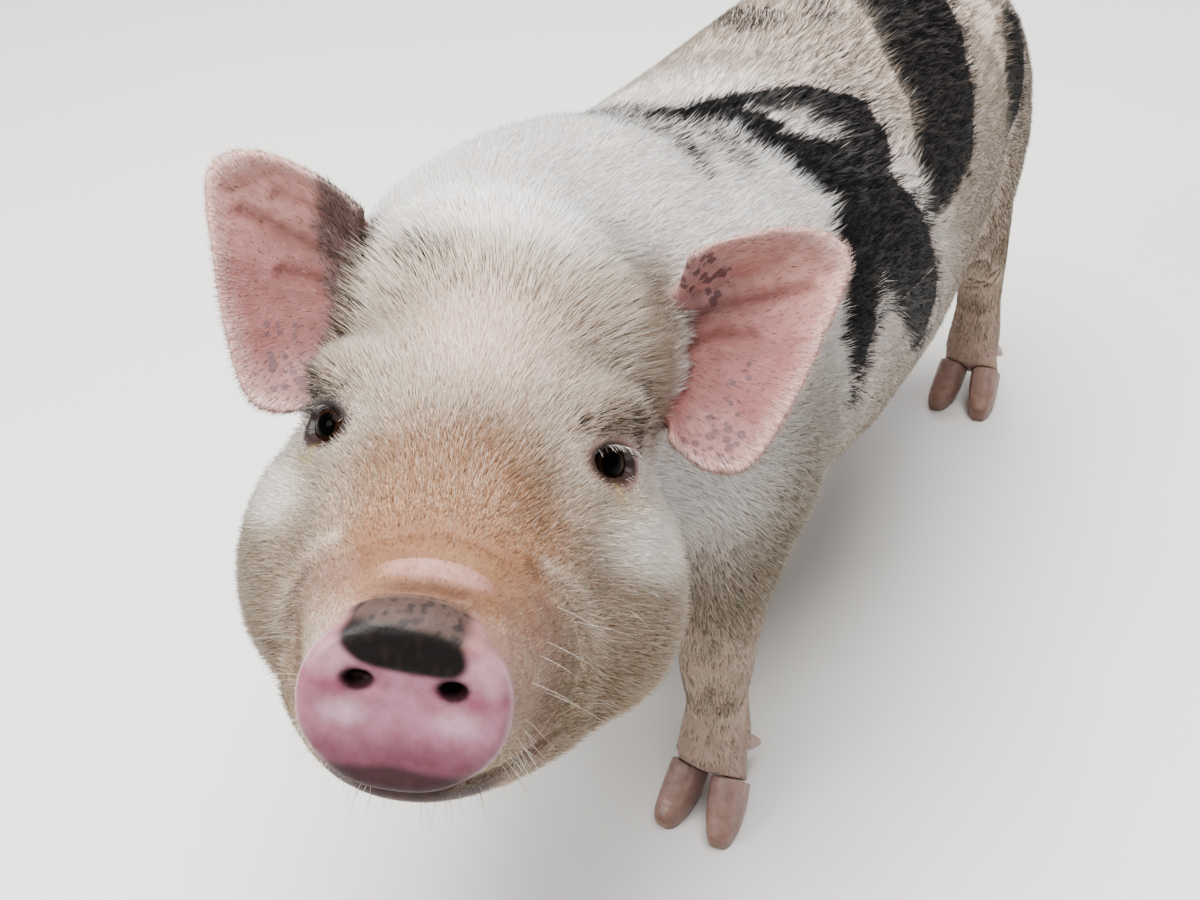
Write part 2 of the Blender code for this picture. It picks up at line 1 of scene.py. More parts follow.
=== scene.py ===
"""The looks of a young miniature pig: its skin, eyes, hooves, lashes and coat, and the studio round it."""

import math

import bmesh
import bpy
import numpy as np
from bpy.props import FloatProperty, FloatVectorProperty, IntProperty, PointerProperty
from mathutils import Matrix, Vector
from mathutils.bvhtree import BVHTree

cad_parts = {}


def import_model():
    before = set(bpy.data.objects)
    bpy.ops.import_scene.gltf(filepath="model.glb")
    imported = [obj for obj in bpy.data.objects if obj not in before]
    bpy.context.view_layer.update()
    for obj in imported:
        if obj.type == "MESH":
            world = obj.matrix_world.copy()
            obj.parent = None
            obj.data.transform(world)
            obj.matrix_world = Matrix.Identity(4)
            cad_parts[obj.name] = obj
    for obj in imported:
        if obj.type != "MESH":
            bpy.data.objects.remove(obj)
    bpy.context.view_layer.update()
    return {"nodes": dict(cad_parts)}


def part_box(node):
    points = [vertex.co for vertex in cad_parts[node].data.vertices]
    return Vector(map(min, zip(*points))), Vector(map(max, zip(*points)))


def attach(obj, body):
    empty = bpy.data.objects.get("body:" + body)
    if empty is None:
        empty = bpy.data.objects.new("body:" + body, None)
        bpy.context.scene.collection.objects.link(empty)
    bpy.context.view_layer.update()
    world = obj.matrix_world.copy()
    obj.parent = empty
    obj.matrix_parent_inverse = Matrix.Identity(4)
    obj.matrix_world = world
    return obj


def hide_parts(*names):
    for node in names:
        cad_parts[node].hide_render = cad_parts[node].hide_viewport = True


bl_info = {
    "name": "Miniature pig",
    "version": (1, 0, 0),
    "blender": (4, 5, 0),
    "location": "3D view, sidebar, Pig",
    "description": "Builds the skin, coat, eyes and hooves of a young miniature pig",
    "category": "Object",
}

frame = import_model()

SIDES = (("left", 1), ("right", -1))
LIMBS = tuple(f"{end}_{side}" for end in ("front", "hind") for side in ("left", "right"))
FLESH = ("head", "neck", "torso", "tail", "snout_disc", "ear_left", "ear_right") + tuple(
    f"leg_{limb}" for limb in LIMBS
)

# How far the solids grow before they are fused, how low the soles may lie, and meshes' sizes.
SKIN_GROWTH = 0.0004
SOLE_HEIGHT = 0.0006
SKIN_TRIANGLES = 136000
UNWRAP_TRIANGLES = 9000
HORN_GRAIN = 0.0007

# How deep the skin lies below the coat's tips and how long the hair is, from one region to the next.
SKIN_DEPTHS = (("leg", 0.0026), ("tail", 0.0010), ("foot", 0.0008), ("ear", 0.0003), ("disc", 0.0))
HAIR_LENGTHS = (("leg", 0.0050), ("tail", 0.0090), ("foot", 0.0044), ("ear", 0.0034))
HUMP_LENGTH = 0.0082
# How far a tuft's root lies under the skin, and the half width and length of its patch on the bake map.
ROOT_DEPTH = 0.00025
PATCH_WIDTH = 0.0015
PATCH_LENGTH = 0.003
# Colours of single tufts: what dulls some of them, the pale ones and the brown ones among the black.
DULL_TUFT = (0.74, 0.65, 0.55)
PALE_TUFT = (0.84, 0.78, 0.70)
BROWN_TUFT = (0.070, 0.054, 0.043)

# The head's turns to the left, upward and sideways, and its eyes in its own frame.
HEAD_YAW = 31.0
HEAD_PITCH = 31.0
HEAD_ROLL = 12.0
EYE_MIDDLE = (0.0, 0.005, -0.001)
EYE_LOOK = (0.54, -0.83, 0.14)
EYE_RADIUS = 0.0095
EYE_OPENING = (0.0084, 0.0062)
LID_OPENING = (0.0096, 0.0054)
LID_RAISE = -0.0002
LID_RADIUS = 0.0106

# The mouth's line round the muzzle, as in the solid: its swing, its centre and its height.
MOUTH_SWING = 112.0
MOUTH_CENTRE = -0.030
MOUTH_FRONT = -0.0805
MOUTH_CORNER = -0.0740

# The ears' cups, as in the solid: the deep point, the margin, the bowl and the sideways shift.
EAR_HOLLOW = (0.050, 0.068, 0.036)
EAR_MARGIN = (
    (0.056, 0.042, 0.006), (0.071, 0.040, -0.002), (0.085, 0.042, 0.001), (0.096, 0.047, 0.022),
    (0.105, 0.052, 0.050), (0.111, 0.056, 0.076), (0.098, 0.053, 0.085), (0.076, 0.047, 0.081),
    (0.054, 0.044, 0.070),
)
EAR_BOWL = 0.006
EAR_WALL = 0.0036
EAR_SHIFT = {"left": 0.009, "right": 0.004}
EAR_CREASES = (
    ((0.057, 0.047), (0.072, 0.054), (0.084, 0.058), (0.098, 0.064)),
    ((0.057, 0.036), (0.070, 0.043), (0.082, 0.045)),
    ((0.058, 0.058), (0.070, 0.066), (0.086, 0.071)),
)

# Black patches on the body: each is a stroke of points with a radius.
BLACK_PATCHES = (
    ((-0.010, -0.006, 0.297, 0.006), (0.005, 0.004, 0.294, 0.010), (0.016, 0.012, 0.291, 0.013),
     (0.027, 0.014, 0.289, 0.012)),
    ((0.005, 0.016, 0.291, 0.010), (0.016, 0.038, 0.287, 0.011), (0.024, 0.052, 0.285, 0.012),
     (0.033, 0.060, 0.282, 0.014), (0.046, 0.062, 0.278, 0.017), (0.058, 0.052, 0.272, 0.020)),
    ((0.024, 0.008, 0.290, 0.011), (0.038, 0.004, 0.287, 0.013), (0.046, 0.006, 0.284, 0.015),
     (0.056, 0.010, 0.278, 0.019), (0.064, 0.014, 0.271, 0.022)),
    ((0.060, 0.038, 0.271, 0.022), (0.066, 0.028, 0.268, 0.027), (0.075, 0.023, 0.258, 0.029),
     (0.084, 0.027, 0.241, 0.028), (0.090, 0.038, 0.222, 0.025), (0.092, 0.047, 0.202, 0.018),
     (0.092, 0.050, 0.180, 0.008)),
    ((0.079, -0.004, 0.253, 0.019), (0.083, -0.014, 0.242, 0.017), (0.087, -0.018, 0.227, 0.015),
     (0.088, -0.022, 0.212, 0.011), (0.088, -0.026, 0.196, 0.005)),
    ((-0.034, 0.204, 0.279, 0.012), (-0.008, 0.200, 0.286, 0.019), (0.030, 0.187, 0.283, 0.025),
     (0.048, 0.161, 0.275, 0.029), (0.064, 0.136, 0.264, 0.029), (0.075, 0.117, 0.252, 0.026),
     (0.081, 0.096, 0.247, 0.020), (0.084, 0.077, 0.241, 0.012), (0.086, 0.062, 0.237, 0.004)),
    ((0.072, 0.236, 0.255, 0.012), (0.079, 0.220, 0.234, 0.012), (0.083, 0.208, 0.211, 0.007)),
    ((-0.066, 0.020, 0.270, 0.010), (-0.081, 0.036, 0.253, 0.020), (-0.092, 0.052, 0.228, 0.026),
     (-0.096, 0.062, 0.200, 0.018), (-0.095, 0.066, 0.178, 0.008)),
    ((-0.070, 0.196, 0.257, 0.012), (-0.081, 0.212, 0.236, 0.022), (-0.086, 0.226, 0.208, 0.013)),
)
WHITE_STREAKS = (
    ((0.018, 0.025, 0.290, 0.002), (0.030, 0.028, 0.287, 0.005), (0.041, 0.031, 0.283, 0.006),
     (0.051, 0.036, 0.278, 0.003)),
    ((0.066, 0.078, 0.263, 0.003), (0.077, 0.066, 0.254, 0.005), (0.084, 0.062, 0.244, 0.005),
     (0.090, 0.060, 0.230, 0.002)),
    ((0.090, 0.014, 0.212, 0.003), (0.091, 0.012, 0.196, 0.006)),
)
# Places where only some hairs are dark, with the share of them: on the body, then on the head.
SMOKY_PATCHES = (
    (0.62, ((-0.042, 0.002, 0.288, 0.009), (-0.020, -0.006, 0.298, 0.013), (0.002, -0.008, 0.297, 0.015))),
    (0.62, ((-0.008, -0.040, 0.306, 0.005), (0.012, -0.032, 0.300, 0.008), (0.033, -0.052, 0.300, 0.004))),
    (0.60, ((0.018, -0.014, 0.296, 0.007), (0.034, -0.022, 0.294, 0.006), (0.044, -0.034, 0.294, 0.003))),
    (0.88, ((-0.024, 0.126, 0.285, 0.014), (-0.040, 0.136, 0.282, 0.011), (-0.052, 0.150, 0.277, 0.009))),
    (0.80, ((0.006, 0.136, 0.287, 0.009), (-0.004, 0.149, 0.288, 0.009))),
    (0.22, ((0.060, 0.090, 0.262, 0.030), (0.010, 0.100, 0.286, 0.020))),
)
SMOKY_HEAD = (
    (0.50, ((-0.018, 0.036, 0.0535, 0.006), (-0.026, 0.041, 0.0545, 0.007))),
    (0.62, ((-0.056, 0.050, 0.070, 0.012), (-0.056, 0.050, 0.050, 0.015), (-0.056, 0.048, 0.026, 0.016),
            (-0.054, 0.040, 0.010, 0.015))),
    (0.75, ((-0.052, 0.022, 0.012, 0.012), (-0.045, 0.006, 0.006, 0.012))),
    (0.50, ((0.034, -0.008, 0.0100, 0.004), (0.046, 0.000, 0.0115, 0.0055), (0.056, 0.011, 0.0090, 0.005))),
    (0.30, ((0.050, 0.024, 0.016, 0.010), (0.060, 0.034, 0.010, 0.008))),
    (0.25, ((0.062, 0.044, 0.062, 0.008), (0.062, 0.046, 0.048, 0.006))),
)
# Bare pinkish skin at the sides of the muzzle, in the head's frame, with radii.
MUZZLE_SIDES = (
    ((0.027, -0.074, -0.032, 0.007), (0.0345, -0.062, -0.046, 0.010), (0.037, -0.055, -0.060, 0.010),
     (0.036, -0.052, -0.074, 0.007)),
    ((0.029, -0.087, -0.042, 0.007), (0.032, -0.080, -0.056, 0.008), (0.034, -0.070, -0.066, 0.006)),
    ((-0.030, -0.066, -0.032, 0.006), (-0.040, -0.046, -0.044, 0.009), (-0.040, -0.042, -0.060, 0.007)),
)
# A painted highlight along the edge of the cheek beside the muzzle, in the head's frame.
MUZZLE_EDGE_HIGHLIGHT = (
    (0.030, -0.0525, -0.026), (0.0405, -0.0445, -0.034), (0.0455, -0.0345, -0.047),
    (0.0465, -0.0270, -0.059), (0.0455, -0.0270, -0.071),
)
# Where dark hair of the right ear's back reaches round on to its front: across, height and radius.
EAR_COAL = (
    (0.061, 0.080, 0.009), (0.062, 0.062, 0.0105), (0.059, 0.048, 0.009), (0.056, 0.030, 0.007),
    (0.055, 0.008, 0.006),
)
# The hollow between the forehead and the crown, which flesh and long hair fill, in the head's frame.
CROWN_HOLLOW = (
    (-0.056, 0.045, 0.020), (-0.045, 0.041, 0.037), (-0.022, 0.035, 0.052), (0.0, 0.032, 0.056),
    (0.022, 0.031, 0.053), (0.038, 0.031, 0.043), (0.054, 0.034, 0.022),
)
CROWN_FILL = 0.0055
CROWN_WIDTH = 0.013
# Soft swellings of the head: centre, radii and height in the head's frame. The first are on both sides.
PAIRED_SWELLINGS = (
    ((0.040, 0.006, 0.021), (0.021, 0.020, 0.0085), 0.0028),
    ((0.047, -0.014, -0.019), (0.018, 0.020, 0.0085), 0.0018),
    ((0.030, -0.036, -0.010), (0.010, 0.024, 0.018), -0.0026),
    ((0.030, -0.070, -0.060), (0.014, 0.018, 0.016), 0.0018),
    ((0.044, -0.050, -0.070), (0.012, 0.020, 0.014), -0.0010),
)
SINGLE_SWELLINGS = (
    ((0.060, -0.002, -0.050), (0.030, 0.034, 0.034), 0.0060),
    ((-0.060, -0.002, -0.050), (0.026, 0.032, 0.034), -0.0014),
    ((0.000, -0.044, -0.004), (0.020, 0.024, 0.018), -0.0016),
    ((0.004, -0.0800, -0.024), (0.022, 0.0055, 0.008), 0.0036),
    ((-0.004, -0.095, -0.033), (0.016, 0.008, 0.008), 0.0012),
)


class PigSizes(bpy.types.PropertyGroup):
    grain: FloatProperty(
        name="Skin grain", description="Side of a face of the new skin",
        default=0.0014, unit="LENGTH",
    )
    body_depth: FloatProperty(
        name="Coat depth, body", description="How far the skin lies below the coat's tips",
        default=0.0022, unit="LENGTH",
    )
    head_depth: FloatProperty(
        name="Coat depth, head", description="The same on the head and legs",
        default=0.0010, unit="LENGTH",
    )
    long_tufts: IntProperty(
        name="Long tufts", description="Tufts on the back, belly and legs",
        default=174000,
    )
    short_tufts: IntProperty(
        name="Short tufts", description="Short tufts on the head, ears and hump",
        default=190000,
    )
    body_length: FloatProperty(
        name="Hair length, body", description="Length of a tuft on the back",
        default=0.0105, unit="LENGTH",
    )
    head_length: FloatProperty(
        name="Hair length, head", description="Length of a tuft on the forehead",
        default=0.0078, unit="LENGTH",
    )
    hair_width: FloatProperty(
        name="Tuft width", description="Widest tuft at its root",
        default=0.00034, unit="LENGTH",
    )


class PigColours(bpy.types.PropertyGroup):
    white_hair: FloatVectorProperty(
        name="White hair", description="Hair of the white coat",
        subtype="COLOR", default=(0.95, 0.935, 0.935),
    )
    # Its darkness is partly painted shade low on the body, not only cream hair.
    cream_hair: FloatVectorProperty(
        name="Cream hair", description="Duller hair low on the body and cheeks",
        subtype="COLOR", default=(0.215, 0.175, 0.108),
    )
    black_hair: FloatVectorProperty(
        name="Black hair", description="Hair of the black patches",
        subtype="COLOR", default=(0.0050, 0.0048, 0.0052),
    )
    skin: FloatVectorProperty(
        name="Skin", description="Skin under the white coat",
        subtype="COLOR", default=(0.74, 0.62, 0.59),
    )
    ear: FloatVectorProperty(
        name="Ear", description="Bare skin inside the ears",
        subtype="COLOR", default=(0.27, 0.105, 0.102),
    )
    snout: FloatVectorProperty(
        name="Snout", description="Wet skin of the snout's disc",
        subtype="COLOR", default=(0.33, 0.136, 0.198),
    )
    dust: FloatVectorProperty(
        name="Dust", description="Tan dust on the muzzle",
        subtype="COLOR", default=(0.36, 0.190, 0.100),
    )
    horn: FloatVectorProperty(
        name="Horn", description="Hooves and dewclaws",
        subtype="COLOR", default=(0.26, 0.155, 0.130),
    )
    iris: FloatVectorProperty(
        name="Iris", description="The eyes' brown",
        subtype="COLOR", default=(0.020, 0.008, 0.004),
    )
    floor: FloatVectorProperty(
        name="Floor", description="The studio's floor",
        subtype="COLOR", default=(0.80, 0.79, 0.77),
    )


def sizes():
    return bpy.context.scene.pig_sizes


def colours():
    return bpy.context.scene.pig_colours


def smoothstep(value, start, end):
    share = np.clip((value - start) / (end - start), 0.0, 1.0)
    return share * share * (3 - 2 * share)


def mix(one, two, share):
    share = np.asarray(share)[..., None]
    return one * (1 - share) + np.asarray(two) * share


def unit(vectors):
    return vectors / np.maximum(np.linalg.norm(vectors, axis=-1, keepdims=True), 1e-9)


def facing(direction):
    """A turn that brings -Y to a direction, keeping Z as upright as it can."""
    back = -Vector(direction).normalized()
    side = back.cross(Vector((0, 0, 1))).normalized()
    return Matrix((side, back, side.cross(back))).transposed().to_4x4()


def eye_centre(name):
    low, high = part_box(f"eye_{name}")
    return (low + high) / 2


def head_frame():
    """The head's own frame, hung on the middle of the two eyes."""
    turn = (
        Matrix.Rotation(math.radians(HEAD_YAW), 4, "Z")
        @ Matrix.Rotation(math.radians(-HEAD_PITCH), 4, "X")
        @ Matrix.Rotation(math.radians(HEAD_ROLL), 4, "Y")
    )
    middle = (eye_centre("left") + eye_centre("right")) / 2
    return Matrix.Translation(middle - turn.to_3x3() @ Vector(EYE_MIDDLE)) @ turn


def eye_frame(name, side):
    turn = head_frame().to_3x3().to_4x4() @ facing((side * EYE_LOOK[0], EYE_LOOK[1], EYE_LOOK[2]))
    return Matrix.Translation(eye_centre(name)) @ turn


def local(points, place):
    """World points in the frame of a matrix."""
    inverse = np.array(place.inverted())
    return points @ inverse[:3, :3].T + inverse[:3, 3]


def world(points, place):
    matrix = np.array(place)
    return points @ matrix[:3, :3].T + matrix[:3, 3]


def turned(vectors, place):
    return vectors @ np.array(place)[:3, :3].T


def select_only(obj):
    bpy.ops.object.select_all(action="DESELECT")
    obj.select_set(True)
    bpy.context.view_layer.objects.active = obj


def apply_modifiers(obj):
    select_only(obj)
    for modifier in list(obj.modifiers):
        bpy.ops.object.modifier_apply(modifier=modifier.name)


def read_points(obj):
    points = np.empty(len(obj.data.vertices) * 3, np.float32)
    obj.data.vertices.foreach_get("co", points)
    return points.reshape(-1, 3).astype(float)


def write_points(obj, points):
    obj.data.vertices.foreach_set("co", np.ascontiguousarray(points, np.float32).ravel())
    obj.data.update()


def read_normals(obj):
    normals = np.empty(len(obj.data.vertices) * 3, np.float32)
    obj.data.vertices.foreach_get("normal", normals)
    return normals.reshape(-1, 3).astype(float)


def read_triangles(obj):
    obj.data.calc_loop_triangles()
    corners = np.empty(len(obj.data.loop_triangles) * 3, np.int32)
    obj.data.loop_triangles.foreach_get("vertices", corners)
    return corners.reshape(-1, 3)


def store(obj, name, values):
    """Keeps numbers, vectors or colours on an object's points."""
    values = np.asarray(values, np.float32)
    kind, field = {1: ("FLOAT", "value"), 2: ("FLOAT_VECTOR", "vector")}[values.ndim]
    layer = obj.data.attributes.new(name, kind, "POINT")
    layer.data.foreach_set(field, np.ascontiguousarray(values).ravel())


def stored(obj, name):
    layer = obj.data.attributes[name]
    vector = layer.data_type == "FLOAT_VECTOR"
    values = np.empty(len(layer.data) * (3 if vector else 1), np.float32)
    layer.data.foreach_get("vector" if vector else "value", values)
    return values.reshape(-1, 3).astype(float) if vector else values.astype(float)


def node_copy(name, grow=0.0):
    """A merged copy of a solid's surface, moved outward by a distance."""
    obj = bpy.data.objects.new(name + "_copy", frame["nodes"][name].data.copy())
    obj.data.materials.clear()
    bpy.context.scene.collection.objects.link(obj)
    bm = bmesh.new()
    bm.from_mesh(obj.data)
    bmesh.ops.remove_doubles(bm, verts=bm.verts, dist=1e-6)
    bm.normal_update()
    for vertex in bm.verts:
        vertex.co += vertex.normal * grow
    bm.to_mesh(obj.data)
    bm.free()
    return obj


def join(objects, name):
    bpy.ops.object.select_all(action="DESELECT")
    for obj in objects:
        obj.select_set(True)
    bpy.context.view_layer.objects.active = objects[0]
    bpy.ops.object.join()
    objects[0].name = name
    objects[0].data.name = name
    return objects[0]


def remesh(obj, grain):
    change = obj.modifiers.new("skin", "REMESH")
    change.mode = "VOXEL"
    change.voxel_size = grain
    apply_modifiers(obj)


def smooth(obj, rounds, share, keep=0.52):
    """Evens a surface out without shrinking it. The share says how strongly for each point."""
    ends = np.empty(len(obj.data.edges) * 2, np.int32)
    obj.data.edges.foreach_get("vertices", ends)
    ends = ends.reshape(-1, 2)
    one, two = np.concatenate([ends, ends[:, ::-1]]).T
    points = read_points(obj)
    count = len(points)
    degree = np.maximum(np.bincount(one, minlength=count), 1)[:, None]
    share = np.broadcast_to(np.asarray(share, float), (count,))[:, None]
    for _ in range(rounds):
        for pull in (0.5, -keep) if keep else (0.5,):
            mean = np.stack([np.bincount(one, points[two, k], count) for k in range(3)], axis=1) / degree
            points = points + (mean - points) * pull * share
    write_points(obj, points)


def stroke_depth(points, stroke):
    """How deep each point lies inside a stroke of points with radii. It is negative outside."""
    best = np.full(len(points), -1.0)
    stroke = np.asarray(stroke, float)
    for start, end in zip(stroke, stroke[1:]):
        along = end[:3] - start[:3]
        part = np.clip((points - start[:3]) @ along / max(along @ along, 1e-12), 0, 1)
        gap = np.linalg.norm(points - start[:3] - part[:, None] * along, axis=1)
        best = np.maximum(best, start[3] + (end[3] - start[3]) * part - gap)
    return best


def line_gap(points, line):
    """How far each point lies from a line of points."""
    return -stroke_depth(points, [(*point, 0.0) for point in line])


def waves(points, scale, seed):
    """Smooth noise from a few waves in many directions, between about -1 and 1."""
    rng = np.random.default_rng(seed)
    total = np.zeros(len(points))
    for _ in range(7):
        direction = unit(rng.normal(size=3)) * scale * rng.uniform(0.6, 1.6)
        total += np.sin(points @ direction + rng.uniform(0, 6.28))
    return total / 3.2


def near_node(points, name, start, end, pad=0.01):
    """1 at a solid's surface, falling to 0 with distance."""
    obj = frame["nodes"][name]
    low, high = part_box(name)
    inside = np.all((points > np.array(low) - pad) & (points < np.array(high) + pad), axis=1)
    share = np.zeros(len(points))
    polygons = [tuple(face.vertices) for face in obj.data.polygons]
    tree = BVHTree.FromPolygons([vertex.co for vertex in obj.data.vertices], polygons)
    for i in np.flatnonzero(inside):
        share[i] = tree.find_nearest(points[i])[3]
    return np.where(inside, 1 - smoothstep(share, start, end), 0.0)


def ear_places(head, name, side):
    """Head points over an ear's cup: reach from its deep point to its margin, angle and sheet height."""
    x = side * (head[:, 0] - EAR_SHIFT[name]) - EAR_HOLLOW[0]
    z = head[:, 2] - EAR_HOLLOW[2]
    angle = np.arctan2(z, x)
    margin = np.array(EAR_MARGIN) - (EAR_HOLLOW[0], 0, EAR_HOLLOW[2])
    turns = np.arctan2(margin[:, 2], margin[:, 0])
    reach = np.hypot(x, z) / np.interp(angle, turns, np.hypot(margin[:, 0], margin[:, 2]))
    reach = np.where((angle > turns[0] - 0.05) & (angle < turns[-1] + 0.05), reach, 9.0)
    inner = np.minimum(reach, 1.0)
    rim = np.interp(angle, turns, margin[:, 1])
    sheet = EAR_HOLLOW[1] + (rim - EAR_HOLLOW[1]) * inner + EAR_BOWL * np.sin(math.pi * inner)
    return reach, angle, sheet, x + EAR_HOLLOW[0]


def region_shares(points):
    """How much each point belongs to the head, ears, disc, legs, feet, tail and fine coat."""
    head = local(points, head_frame())
    shares = {
        "head": 1 - smoothstep(head[:, 1] + 0.25 * head[:, 2], 0.045, 0.105),
        "disc": near_node(points, "snout_disc", 0.0012, 0.0026),
        "tail": near_node(points, "tail", 0.001, 0.003),
        "foot": 1 - smoothstep(points[:, 2], 0.030, 0.060),
        "leg": 1 - smoothstep(points[:, 2], 0.095, 0.165),
        "fine": 1 - smoothstep(points[:, 1] - 0.35 * (points[:, 2] - 0.24), -0.100, 0.030),
    }
    for name, side in SIDES:
        reach, _, sheet, across = ear_places(head, name, side)
        cup = (1 - smoothstep(np.abs(head[:, 1] - sheet), 0.0028, 0.0048)) * (reach < 1.0) * (across > 0.057)
        shares[f"ear_{name}"] = np.maximum(near_node(points, f"ear_{name}", 0.0012, 0.0034), cup)
    shares["leg"] = shares["leg"] * (1 - shares["head"]) * (1 - shares["tail"])
    shares["fine"] = np.maximum(shares["fine"], shares["head"]) * (1 - shares["leg"])
    shares["ear"] = np.maximum(shares["ear_left"], shares["ear_right"])
    return shares


def lid_places(points):
    """Each point in the two eyes' frames, with its oval distance from the opening's middle."""
    places = []
    for name, side in SIDES:
        spots = local(points, eye_frame(name, side))
        ring = np.hypot(spots[:, 0] / LID_OPENING[0], (spots[:, 2] - LID_RAISE) / LID_OPENING[1])
        near = (np.linalg.norm(spots, axis=1) < 0.030) & (spots[:, 1] < 0.004)
        places.append((side, spots, np.where(near, ring, 99.0)))
    return places


def mouth_height(head):
    """Each head point's swing round the muzzle and its height over the mouth's line."""
    swing = np.degrees(np.arctan2(head[:, 0], -(head[:, 1] - MOUTH_CENTRE)))
    line = MOUTH_FRONT + (MOUTH_CORNER - MOUTH_FRONT) * (swing / MOUTH_SWING) ** 2
    return swing, head[:, 2] - line


def lid_rim(name, side):
    """A thick soft rim round an eye's opening, to be fused into the skin."""
    bpy.ops.object.select_all(action="DESELECT")
    bpy.ops.mesh.primitive_torus_add(
        major_radius=1.0, minor_radius=0.13, major_segments=36, minor_segments=10,
        rotation=(math.pi / 2, 0, 0),
    )
    rim = bpy.context.active_object
    bpy.ops.object.transform_apply(location=False, rotation=True, scale=False)
    points = read_points(rim)
    angle = np.arctan2(points[:, 2], points[:, 0])
    ring = np.stack([np.cos(angle), 0 * angle, np.sin(angle)], axis=1)
    across = points - ring
    wide, high = EYE_OPENING[0] * 1.10, EYE_OPENING[1] * 0.95
    centre = ring * (wide, 0, high)
    centre[:, 0] *= 1 + 0.10 * np.abs(np.cos(angle)) ** 6
    centre[:, 1] = -np.sqrt(np.maximum(LID_RADIUS**2 - centre[:, 0] ** 2 - centre[:, 2] ** 2, 1e-8))
    write_points(rim, world(centre + across * 0.0100, eye_frame(name, side)))
    return rim


def coat_depth(shares):
    size = sizes()
    depth = size.body_depth + (size.head_depth - size.body_depth) * np.maximum(shares["head"], shares["leg"])
    for name, value in SKIN_DEPTHS:
        depth = depth + (value - depth) * shares[name]
    return depth


def thin(obj, triangles, weights):
    """Fewer faces, taken where the weights are high, and about evenly there."""
    group = obj.vertex_groups.new(name="coarse")
    levels = np.round(weights * 16).astype(int)
    for level in range(17):
        group.add(np.flatnonzero(levels == level).tolist(), level / 16, "REPLACE")
    change = obj.modifiers.new("thin", "DECIMATE")
    change.ratio = triangles / len(read_triangles(obj))
    change.vertex_group = group.name
    change.vertex_group_factor = 1.0
    change.use_collapse_triangulate = True
    apply_modifiers(obj)
    obj.vertex_groups.clear()


def divide(obj, chosen):
    """Splits the chosen faces into finer ones."""
    select_only(obj)
    bpy.ops.object.mode_set(mode="EDIT")
    bpy.ops.mesh.select_all(action="DESELECT")
    bpy.ops.object.mode_set(mode="OBJECT")
    obj.data.polygons.foreach_set("select", chosen)
    bpy.ops.object.mode_set(mode="EDIT")
    bpy.ops.mesh.select_mode(type="FACE")
    bpy.ops.mesh.subdivide(number_cuts=1)
    bpy.ops.mesh.quads_convert_to_tris()
    bpy.ops.object.mode_set(mode="OBJECT")


# Folds of the skin in the head's frame: points of the left half, depth and width. All are mirrored.
FOLDS = (
    (((0.0, -0.0875, -0.0300), (0.0130, -0.0870, -0.0310), (0.0240, -0.0855, -0.0380),
      (0.0300, -0.084, -0.050)), 0.0020, 0.0015),
    (((0.0, -0.0740, -0.0225), (0.0120, -0.0740, -0.0245), (0.0230, -0.0730, -0.0310),
      (0.031, -0.070, -0.043)), 0.0015, 0.0018),
    (((0.0, -0.0620, -0.0165), (0.0100, -0.0630, -0.0180), (0.0250, -0.0620, -0.0250),
      (0.0370, -0.0490, -0.0340), (0.0420, -0.0390, -0.0470), (0.0430, -0.0320, -0.0590),
      (0.0420, -0.0320, -0.0710)), 0.0019, 0.0030),
    (((0.0330, -0.0120, -0.0120), (0.0400, -0.0190, -0.0180), (0.0500, -0.0110, -0.0200),
      (0.0580, 0.0020, -0.0170)), 0.0012, 0.0015),
    (((0.0300, -0.0200, -0.0130), (0.0390, -0.0270, -0.0240), (0.0500, -0.0180, -0.0280),
      (0.0600, -0.0020, -0.0260)), 0.0007, 0.0020),
    (((0.0290, -0.0080, 0.0080), (0.0360, -0.0050, 0.0125), (0.0460, 0.0030, 0.0140),
      (0.0560, 0.0140, 0.0110)), 0.0024, 0.0016),
    (((0.0260, 0.0010, 0.0170), (0.0360, 0.0050, 0.0215), (0.0460, 0.0110, 0.0225)), 0.0014, 0.0018),
    (((0.0400, -0.0420, -0.0440), (0.0445, -0.0330, -0.0560), (0.0465, -0.0240, -0.0680),
      (0.0470, -0.0160, -0.0780)), 0.0014, 0.0040),
    (((0.0520, 0.0300, -0.0600), (0.0560, 0.0340, -0.0420), (0.0600, 0.0360, -0.0260)), 0.0009, 0.0035),
)


def crease(points, normals, line, depth, width):
    """Sinks a soft line into a surface and raises the flesh a little on both sides of it."""
    gap = line_gap(points, line)
    sunk = -depth * np.exp(-((gap / width) ** 2))
    raised = 0.35 * depth * np.exp(-(((gap - 2.1 * width) / width) ** 2))
    return points + normals * (sunk + raised)[:, None]


def open_lids(points):
    """Gives the lids their opening: what lies inside it sinks behind the eyeball, the rest covers it."""
    for name, side in SIDES:
        place = eye_frame(name, side)
        spots = local(points, place)
        far = np.linalg.norm(spots, axis=1)
        ring = np.hypot(spots[:, 0] / LID_OPENING[0], (spots[:, 2] - LID_RAISE) / LID_OPENING[1])
        near = (far < 0.016) & (spots[:, 1] < -0.001)
        inside = near & (ring < 1.0)
        cover = near & (ring >= 1.0) & (ring < 2.0) & (far < LID_RADIUS)
        spots[inside] = unit(spots[inside]) * 0.0080
        spots[cover] = unit(spots[cover]) * LID_RADIUS
        points = np.where((inside | cover)[:, None], world(spots, place), points)
    return points


def swell(points, normals, centre, radii, height):
    away = (points - centre) / radii
    return points + normals * (height * np.exp(-np.sum(away**2, axis=1)))[:, None]


def in_head_frame(normals):
    """World directions in the head's frame."""
    return turned(normals, head_frame().to_3x3().transposed().to_4x4())


def ear_flat(head, across):
    """Points of an ear laid flat: how far across and how high they lie."""
    return np.stack([across, 0 * across, head[:, 2]], axis=1)


def crown_share(head):
    """1 along the hollow between forehead and crown, falling to 0 on both sides of it."""
    return np.exp(-((line_gap(head, CROWN_HOLLOW) / CROWN_WIDTH) ** 2))


